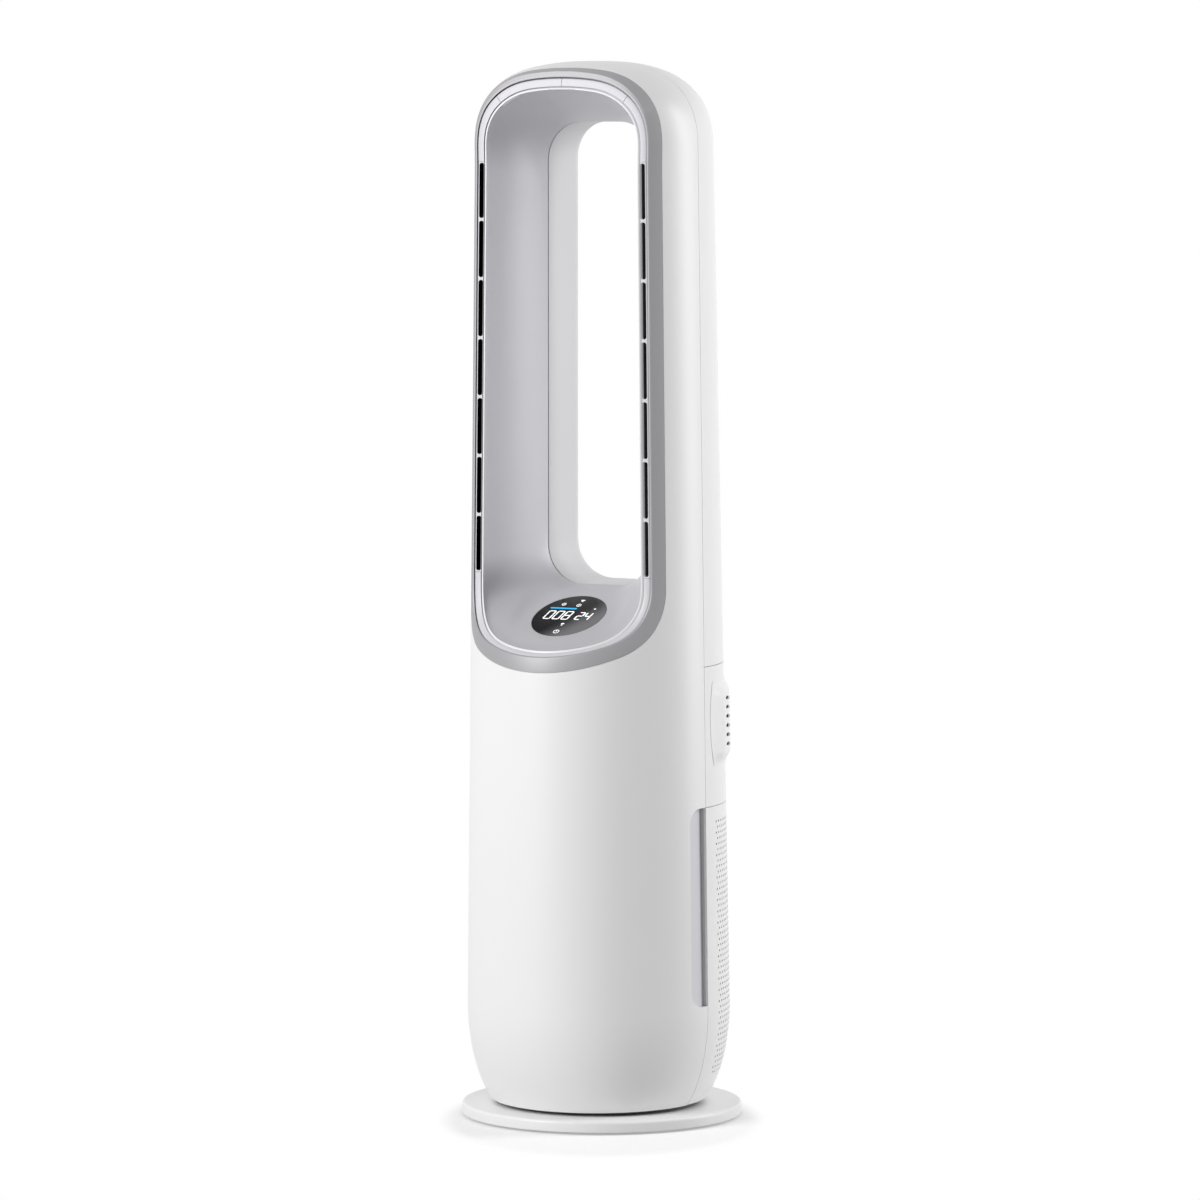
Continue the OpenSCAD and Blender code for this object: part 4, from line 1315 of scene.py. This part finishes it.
rim = prism("rim", grip_outline(rim_wide), rim_near, rim_far)
cut(rim, prism("rim_hole", grip_outline(-0.05), rim_near - 10, rim_far + 10))
keep_front(rim)
cut(rim, solid("rim_limit", 60, 400, wall + 0.1), "INTERSECT")
cut(rim, solid("rim_inner", 60, 400, rim_deep))
join(grip_floor, rim)
finish_piece(grip_floor, "tower", [soft_white], "grip_liner_right")
mirrored(grip_floor, "grip_floor_left", "grip_liner_left")

# %% [markdown]
# ## The perforated filter cover
# Most of the cover is a field of small holes in staggered rows. Nearly three thousand booleans would take
# far too long and leave long thin faces. One cell, a ring of faces round a hole, is extruded from a circle
# and given depth instead, and Array modifiers repeat it. Plain margins are extruded from the field's edge,
# and the flat sheet is then wrapped on the tower's form.

# %% The perforated filter cover: one cell
cell_w, cell_h, hole_r, hole_depth = 6.54, 5.6, 1.3, 2.0
near_hole = hole_r + 0.01


def select_where(mesh, test):
    """Selects the vertices that pass the test, and the edges and faces between them."""
    for v in mesh.verts:
        v.select = bool(test(v.co))
    mesh.select_flush_mode()
    mesh.select_mode = {"VERT"}
    mesh.select_flush(True)


deselect()
bpy.ops.mesh.primitive_circle_add(vertices=12, radius=hole_r)
sheet = bpy.context.object
sheet.name = sheet.data.name = "perforated_cover"
edit(sheet)
bpy.ops.mesh.extrude_region_move()
mesh = bmesh.from_edit_mesh(sheet.data)
w, h = cell_w / 2, cell_h / 2
corners = {0: (w, 0), 30: (w, h), 60: (w / 2, h), 90: (0, h), 120: (-w / 2, h), 150: (-w, h)}
corners.update({a + 180: (-x, -y) for a, (x, y) in list(corners.items())})
for v in [v for v in mesh.verts if v.select]:
    v.co.xy = corners[round(math.degrees(math.atan2(v.co.y, v.co.x))) % 360]
select_where(mesh, lambda co: co.length < near_hole)
bmesh.update_edit_mesh(sheet.data)
bpy.ops.mesh.extrude_region_move(TRANSFORM_OT_translate={"value": (0, 0, -hole_depth)})
done()
print("one cell:", len(sheet.data.polygons), "faces")

# %% [markdown]
# The cell is repeated along a row, the row becomes a staggered pair, and the pair is repeated upwards.
# Half cells without a hole square off the two rows of a pair. Here the sheet is drawn one metre to the
# millimetre, and wrapping brings it to its size.

# %% The perforated filter cover: rows
columns, row_pairs = 60, 23
field_w, field_h = (columns + 0.5) * cell_w, 2 * row_pairs * cell_h


def repeat(obj, count, offset):
    pick(obj)
    modifier = obj.modifiers.new("rows", "ARRAY")
    modifier.count = count
    modifier.use_relative_offset = False
    modifier.use_constant_offset = True
    modifier.constant_offset_displace = offset
    bpy.ops.object.modifier_apply(modifier=modifier.name)


def half_cell(x, y):
    """The plain half cell that squares off a staggered row."""
    deselect()
    bpy.ops.mesh.primitive_grid_add(x_subdivisions=2, y_subdivisions=2, size=1)
    obj = bpy.context.object
    obj.scale = (cell_w / 2, cell_h, 1)
    obj.location = (x, y, 0)
    bpy.ops.object.transform_apply()
    return obj


repeat(sheet, columns, (cell_w, 0, 0))
repeat(sheet, 2, (cell_w / 2, cell_h, 0))
join(sheet, half_cell(-cell_w / 4, cell_h), half_cell((columns - 0.5) * cell_w + cell_w / 4, 0))
repeat(sheet, row_pairs, (0, 2 * cell_h, 0))
edit(sheet)
bpy.ops.mesh.remove_doubles(threshold=0.01)
done()
print("field of holes:", len(sheet.data.polygons), "faces")

# %% [markdown]
# The field's middle goes to the back of the tower. Its margins reach to the seam at each side, up to the
# flat top edge and down round the foot. They are extruded in steps, because a face has to be short enough
# to bend with the form.

# %% The perforated filter cover: margins
cover_low, cover_high = casing_low + 0.5, seam_low - seam / 2
field_top, above_field = 303.0, 309.0
side_steps, foot_steps = (5.0, 10.0, 16.0, 23.0, 31.0), 12
line = outline(0, casing_low, 400, rows_foot=60, rows_side=40)
line_r, line_z = zip(*line)
lengths = [0.0]
for (r0, z0), (r1, z1) in zip(line, line[1:]):
    lengths.append(lengths[-1] + math.hypot(r1 - r0, z1 - z0))


def length_at(z):
    """How far along the outline the height z lies."""
    return float(np.interp(z, line_z, lengths))


def pull_edge(axis, side, target):
    """Extrudes the sheet's outer edge on one side to a new position."""
    edit(sheet)
    mesh = bmesh.from_edit_mesh(sheet.data)
    flat = [v.co[axis] for v in mesh.verts if v.co.z > -0.01]
    now = max(flat) if side > 0 else min(flat)
    select_where(mesh, lambda co: abs(co[axis] - now) < 0.02 and co.z > -0.01)
    bmesh.update_edit_mesh(sheet.data)
    move = [0.0, 0.0, 0.0]
    move[axis] = target - now
    bpy.ops.mesh.extrude_region_move(TRANSFORM_OT_translate={"value": move})
    done()


field_low = length_at(field_top) - field_h
pick(sheet)
sheet.location = (-(columns - 1) * cell_w / 2 - cell_w / 4, field_low + cell_h / 2, 0)
bpy.ops.object.transform_apply()
for step in side_steps:
    for side in (-1, 1):
        pull_edge(0, side, side * (field_w / 2 + step))
for z in (above_field, cover_high):
    pull_edge(1, 1, length_at(z))
for k in range(1, foot_steps + 1):
    pull_edge(1, -1, field_low + (length_at(cover_low) - field_low) * k / foot_steps)
print("field and margins:", len(sheet.data.polygons), "faces")

# %% The perforated filter cover: wrapping
wrap_r = 130.0


def on_line(v):
    """The outline's radius and height at a length v along it."""
    return float(np.interp(v, lengths, line_r)), float(np.interp(v, lengths, line_z))


def wrap(u, v, depth):
    """From the flat sheet to the tower's form: the sheet's middle is at the back."""
    (r, z), (r0, z0), (r1, z1) = on_line(v), on_line(v - 1), on_line(v + 1)
    size = math.hypot(r1 - r0, z1 - z0)
    nr, nz = (z1 - z0) / size, -(r1 - r0) / size
    r, z = r + nr * depth, z + nz * depth
    a = u / wrap_r
    return Vector(to_world(r * math.sin(a), r * math.cos(a), z)) * MM


for v in sheet.data.vertices:
    v.co = wrap(*v.co)
edit(sheet)
bpy.ops.mesh.normals_make_consistent(inside=False)
done()
keep_rear(sheet, fill=False)
print("wrapped cover:", [round(side / MM) for side in sheet.dimensions], "mm")

# %% [markdown]
# The sheet is thin. A frame along the seams, sliced from the common shell, gives its edges the casing's
# thickness, and behind the finger recesses stands the flange that the fingers pull. The flange's front
# edge shows in the recess as a grey step, where the shade of the recess is painted into its colour.

# %% The perforated filter cover: its frame and flange
flange_in, flange_thick = wall - 0.2, 11
flange_top = grip_high - 4
frame_foot, frame_head, frame_side = 3, 6, 6


def flange(name, low, high, deep):
    """A slice of thick shell just behind the seam."""
    obj = keep_rear(shell(name, low, high, flange_in, flange_thick))
    return slice_off(obj, (0, part_y + seam + deep, 0), (0, 1, 0))


cover_frame = keep_rear(shell("cover_frame", cover_low, cover_high, 0.05, wall))
frame_hole = solid("cover_frame_hole", cover_low + frame_foot, cover_high - frame_head, -5)
slice_off(frame_hole, (0, part_y + seam + frame_side, 0), (0, -1, 0))
cut(cover_frame, frame_hole)
lower_flange = flange("cover_flange", grip_low, flange_top, 2.4)
upper_flange = flange("cover_flange_top", flange_top, grip_high - 0.5, 1.2)
filter_cover = join(sheet, cover_frame, lower_flange, upper_flange)
finish_piece(filter_cover, "cover", [white, recess_painted_shade], "filter_cover")
# Painted shade: the flange's forward faces in the recess take the grey.
for polygon in filter_cover.data.polygons:
    x, y, z = polygon.center / MM
    on_step = abs(y - part_y - seam) < 0.05 and grip_low < z < grip_high
    polygon.material_index = 1 if on_step and polygon.normal.y < -0.9 else 0

# %% [markdown]
# ## The louvred sensor cover
# A low soft hump on the rear flank, with six louvres that let air reach the sensor. Its height over the
# casing rises and falls smoothly. A bevelled block would keep a hard foot, so a grid is laid on the
# tower's form and lifted by a smooth height. Solidify gives it a wall.

# %% The louvred sensor cover: the hump
sensor_rise, rise_least, hump_wall = 5.5, 0.4, 1.8
side_foot, side_soft, top_soft, low_soft = 70, 24, 15, 13
hump_half, hump_low, hump_top, hump_narrowing = 71.0, -34.0, 50.0, 0.09
hump_middle, hump_reach = (hump_top + hump_low) / 2, (hump_top - hump_low) / 2
sensor_turn = sensor_angle - math.pi / 2


def hump_rise(u, v):
    """Height over the casing at u round the tower and v up it, from the sensor's middle."""
    across = smooth((side_foot - abs(u)) / side_soft)
    along = smooth((hump_top - v) / top_soft) * smooth((v - hump_low) / low_soft)
    return (sensor_rise - rise_least) * across * along + rise_least


deselect()
bpy.ops.mesh.primitive_grid_add(x_subdivisions=64, y_subdivisions=56, size=2)
hump = bpy.context.object
hump.name = hump.data.name = "sensor_hump"
for vertex in hump.data.vertices:
    u = vertex.co.x * hump_half * (1 - hump_narrowing * vertex.co.y**2)
    v = hump_middle + vertex.co.y * hump_reach
    z = sensor_z + v
    r = tower_r(z) + hump_rise(u, v)
    a = sensor_turn + u / tower_r(z)
    vertex.co = Vector(to_world(r * math.cos(a), r * math.sin(a), z)) * MM
solidify(hump, hump_wall)
print("sensor cover", hump_top - hump_low, "mm tall")

# %% [markdown]
# Each louvre is cut by a flattened round bar that follows the hump round the tower and closes at its
# ends. The inner faces of the cover then take the dark plastic as painted shade, so that the slots look deep.

# %% The louvred sensor cover: the louvres
louvre_n, louvre_pitch, louvre_h, louvre_mid = 6, 9.2, 5.0, sensor_z + 8.4
louvre_reach, louvre_out, louvre_deep, louvre_sides = 41.0, 4.5, 6.0, 12


def louvre_cutter(k):
    """One louvre: a bar that follows the hump round the tower, with rounded edges."""
    z = louvre_mid + louvre_pitch * (k - (louvre_n - 1) / 2)
    rings = []
    for u in np.linspace(-louvre_reach, louvre_reach, 25):
        a = sensor_turn + u / tower_r(z)
        tip = math.sqrt(max(1 - (abs(u) / louvre_reach) ** 8, 0.02))
        ring = []
        for side in range(louvre_sides):
            t = math.radians(30 * side + 15)
            r = tower_r(z) + louvre_out + louvre_deep * math.cos(t)
            ring.append(to_world(r * math.cos(a), r * math.sin(a), z + louvre_h / 2 * tip * math.sin(t)))
        rings.append(ring)
    return loft("louvre", rings, caps=True)


for k in range(louvre_n):
    cut(hump, louvre_cutter(k))
finish_piece(hump, "sensor_lid", [white, dark_plastic], "sensor_cover", angle=50)
# Painted shade: faces looking into the cover are dark plastic, standing in for the shade inside it.
for polygon in hump.data.polygons:
    x, y, z = polygon.center / MM
    outward = Vector((x, y - axis_y(z), 0)).normalized()
    polygon.material_index = 1 if polygon.normal.dot(outward) < -0.5 else 0

# %% [markdown]
# ## Floor and world
# The object stands on a pale floor in a white room. More light would wash out the white plastic, so the
# room's whiteness comes from what the camera sees directly: there the world and most of the floor are
# plain white, while the object gets a lower, even fill. Close to the base the floor stays mostly real and
# keeps the object's soft shadow, inside an ellipse that fades into the plain white.

# %% Floor
floor_size, floor_drop = 14, 0.0002  # metres; it lies a hair under the rubber feet
deselect()
bpy.ops.mesh.primitive_plane_add(size=floor_size, location=(0, 0, -floor_drop))
floor = bpy.context.object
floor.name = "floor"

grey, bright = (0.5, 0.5, 0.5), (1.0, 1.0, 1.0)
aside_x, aside_y = 0.880, 0.474  # the direction across the camera's view, on the floor
shadow_shift, shadow_squash = 0.04, 0.7
shadow_full, shadow_end, plain_least = 0.139, 0.168, 0.3
floor_finish = Recipe("floor", grey, 0.9)
directly = floor_finish.seen_directly()
floor_finish.color(floor_finish.blend(directly, grey, bright))
x, y, _ = floor_finish.axes()
sideways = x * aside_x + y * aside_y
forwards = (x * aside_y - y * aside_x - shadow_shift) * shadow_squash
away = floor_finish.math("SQRT", sideways * sideways + forwards * forwards)
share = floor_finish.rise(away, shadow_full, shadow_end, plain_least) * directly
glow = floor_finish.node("Emission", {}, {"Strength": 1.0})
surface = floor_finish.node("MixShader", {}, {0: share, 1: floor_finish.shader.outputs[0], 2: glow})
floor_finish.link(floor_finish.tree.nodes["Material Output"], "Surface", surface)
floor.data.materials.append(floor_finish.material)
print("floor:", len(floor_finish.tree.nodes), "nodes")

# %% World
FILL = 0.35
world = bpy.context.scene.world or bpy.data.worlds.new("studio")
bpy.context.scene.world = world
world.use_nodes = True
room = Wiring(world.node_tree)
sky = world.node_tree.nodes["Background"]
strength = room.node("MapRange", {}, {"Value": room.seen_directly(), "To Min": FILL, "To Max": 1.0})
room.link(sky, "Color", (1, 1, 1, 1))
room.link(sky, "Strength", strength)
print("fill light:", FILL)

# %% [markdown]
# ## Lamps
# White plastic shows its form only by the drift of its tone. A broad soft lamp from the left gives that
# drift, and a narrower one from the right rear draws the bright edge. Both are large area lamps, because
# a small one would leave hard shadows and a spot in every highlight.


# %% Lamps
def lamp(name, place, wide, high, power):
    """A soft rectangular lamp that faces the tower's middle, in metres and watts."""
    data = bpy.data.lights.new(name, "AREA")
    data.shape, data.size, data.size_y, data.energy = "RECTANGLE", wide, high, power
    obj = bpy.data.objects.new(name, data)
    bpy.context.scene.collection.objects.link(obj)
    obj.location = place
    obj.rotation_euler = (tower_middle - Vector(place)).to_track_quat("-Z", "Y").to_euler()
    print(name, "lamp:", power, "W")


tower_middle = Vector((0, 0, 0.5))
lamp("key", (-1.36, -2.70, 1.6), 1.2, 2.4, 75)
lamp("rim", (2.20, 1.50, 1.3), 0.8, 2.4, 48)

# %% [markdown]
# ## Camera
# The camera stands a little right of the front and looks slightly down. It is far away with a long lens,
# which keeps the tower's sides nearly parallel.

# %% Camera
look_down, turn_left = 4.519, 28.317843  # degrees
camera_data = bpy.data.cameras.new("camera")
camera_data.lens, camera_data.sensor_width, camera_data.clip_end = 189.8, 36, 100
camera = bpy.data.objects.new("camera", camera_data)
camera.location = (2.9763, -5.5276, 1.0113)
camera.rotation_euler = (math.radians(90 - look_down), 0, math.radians(turn_left))
bpy.context.scene.collection.objects.link(camera)
bpy.context.scene.camera = camera
bpy.context.scene.view_settings.view_transform = "Standard"
print("camera", round(camera.location.length, 2), "m from the base, lens", camera_data.lens, "mm")

# %% [markdown]
# ## The last update
# The view layer is updated once more at the end. The visual model has to stay inside the CAD
# box.

# %% The last update
bpy.context.view_layer.update()
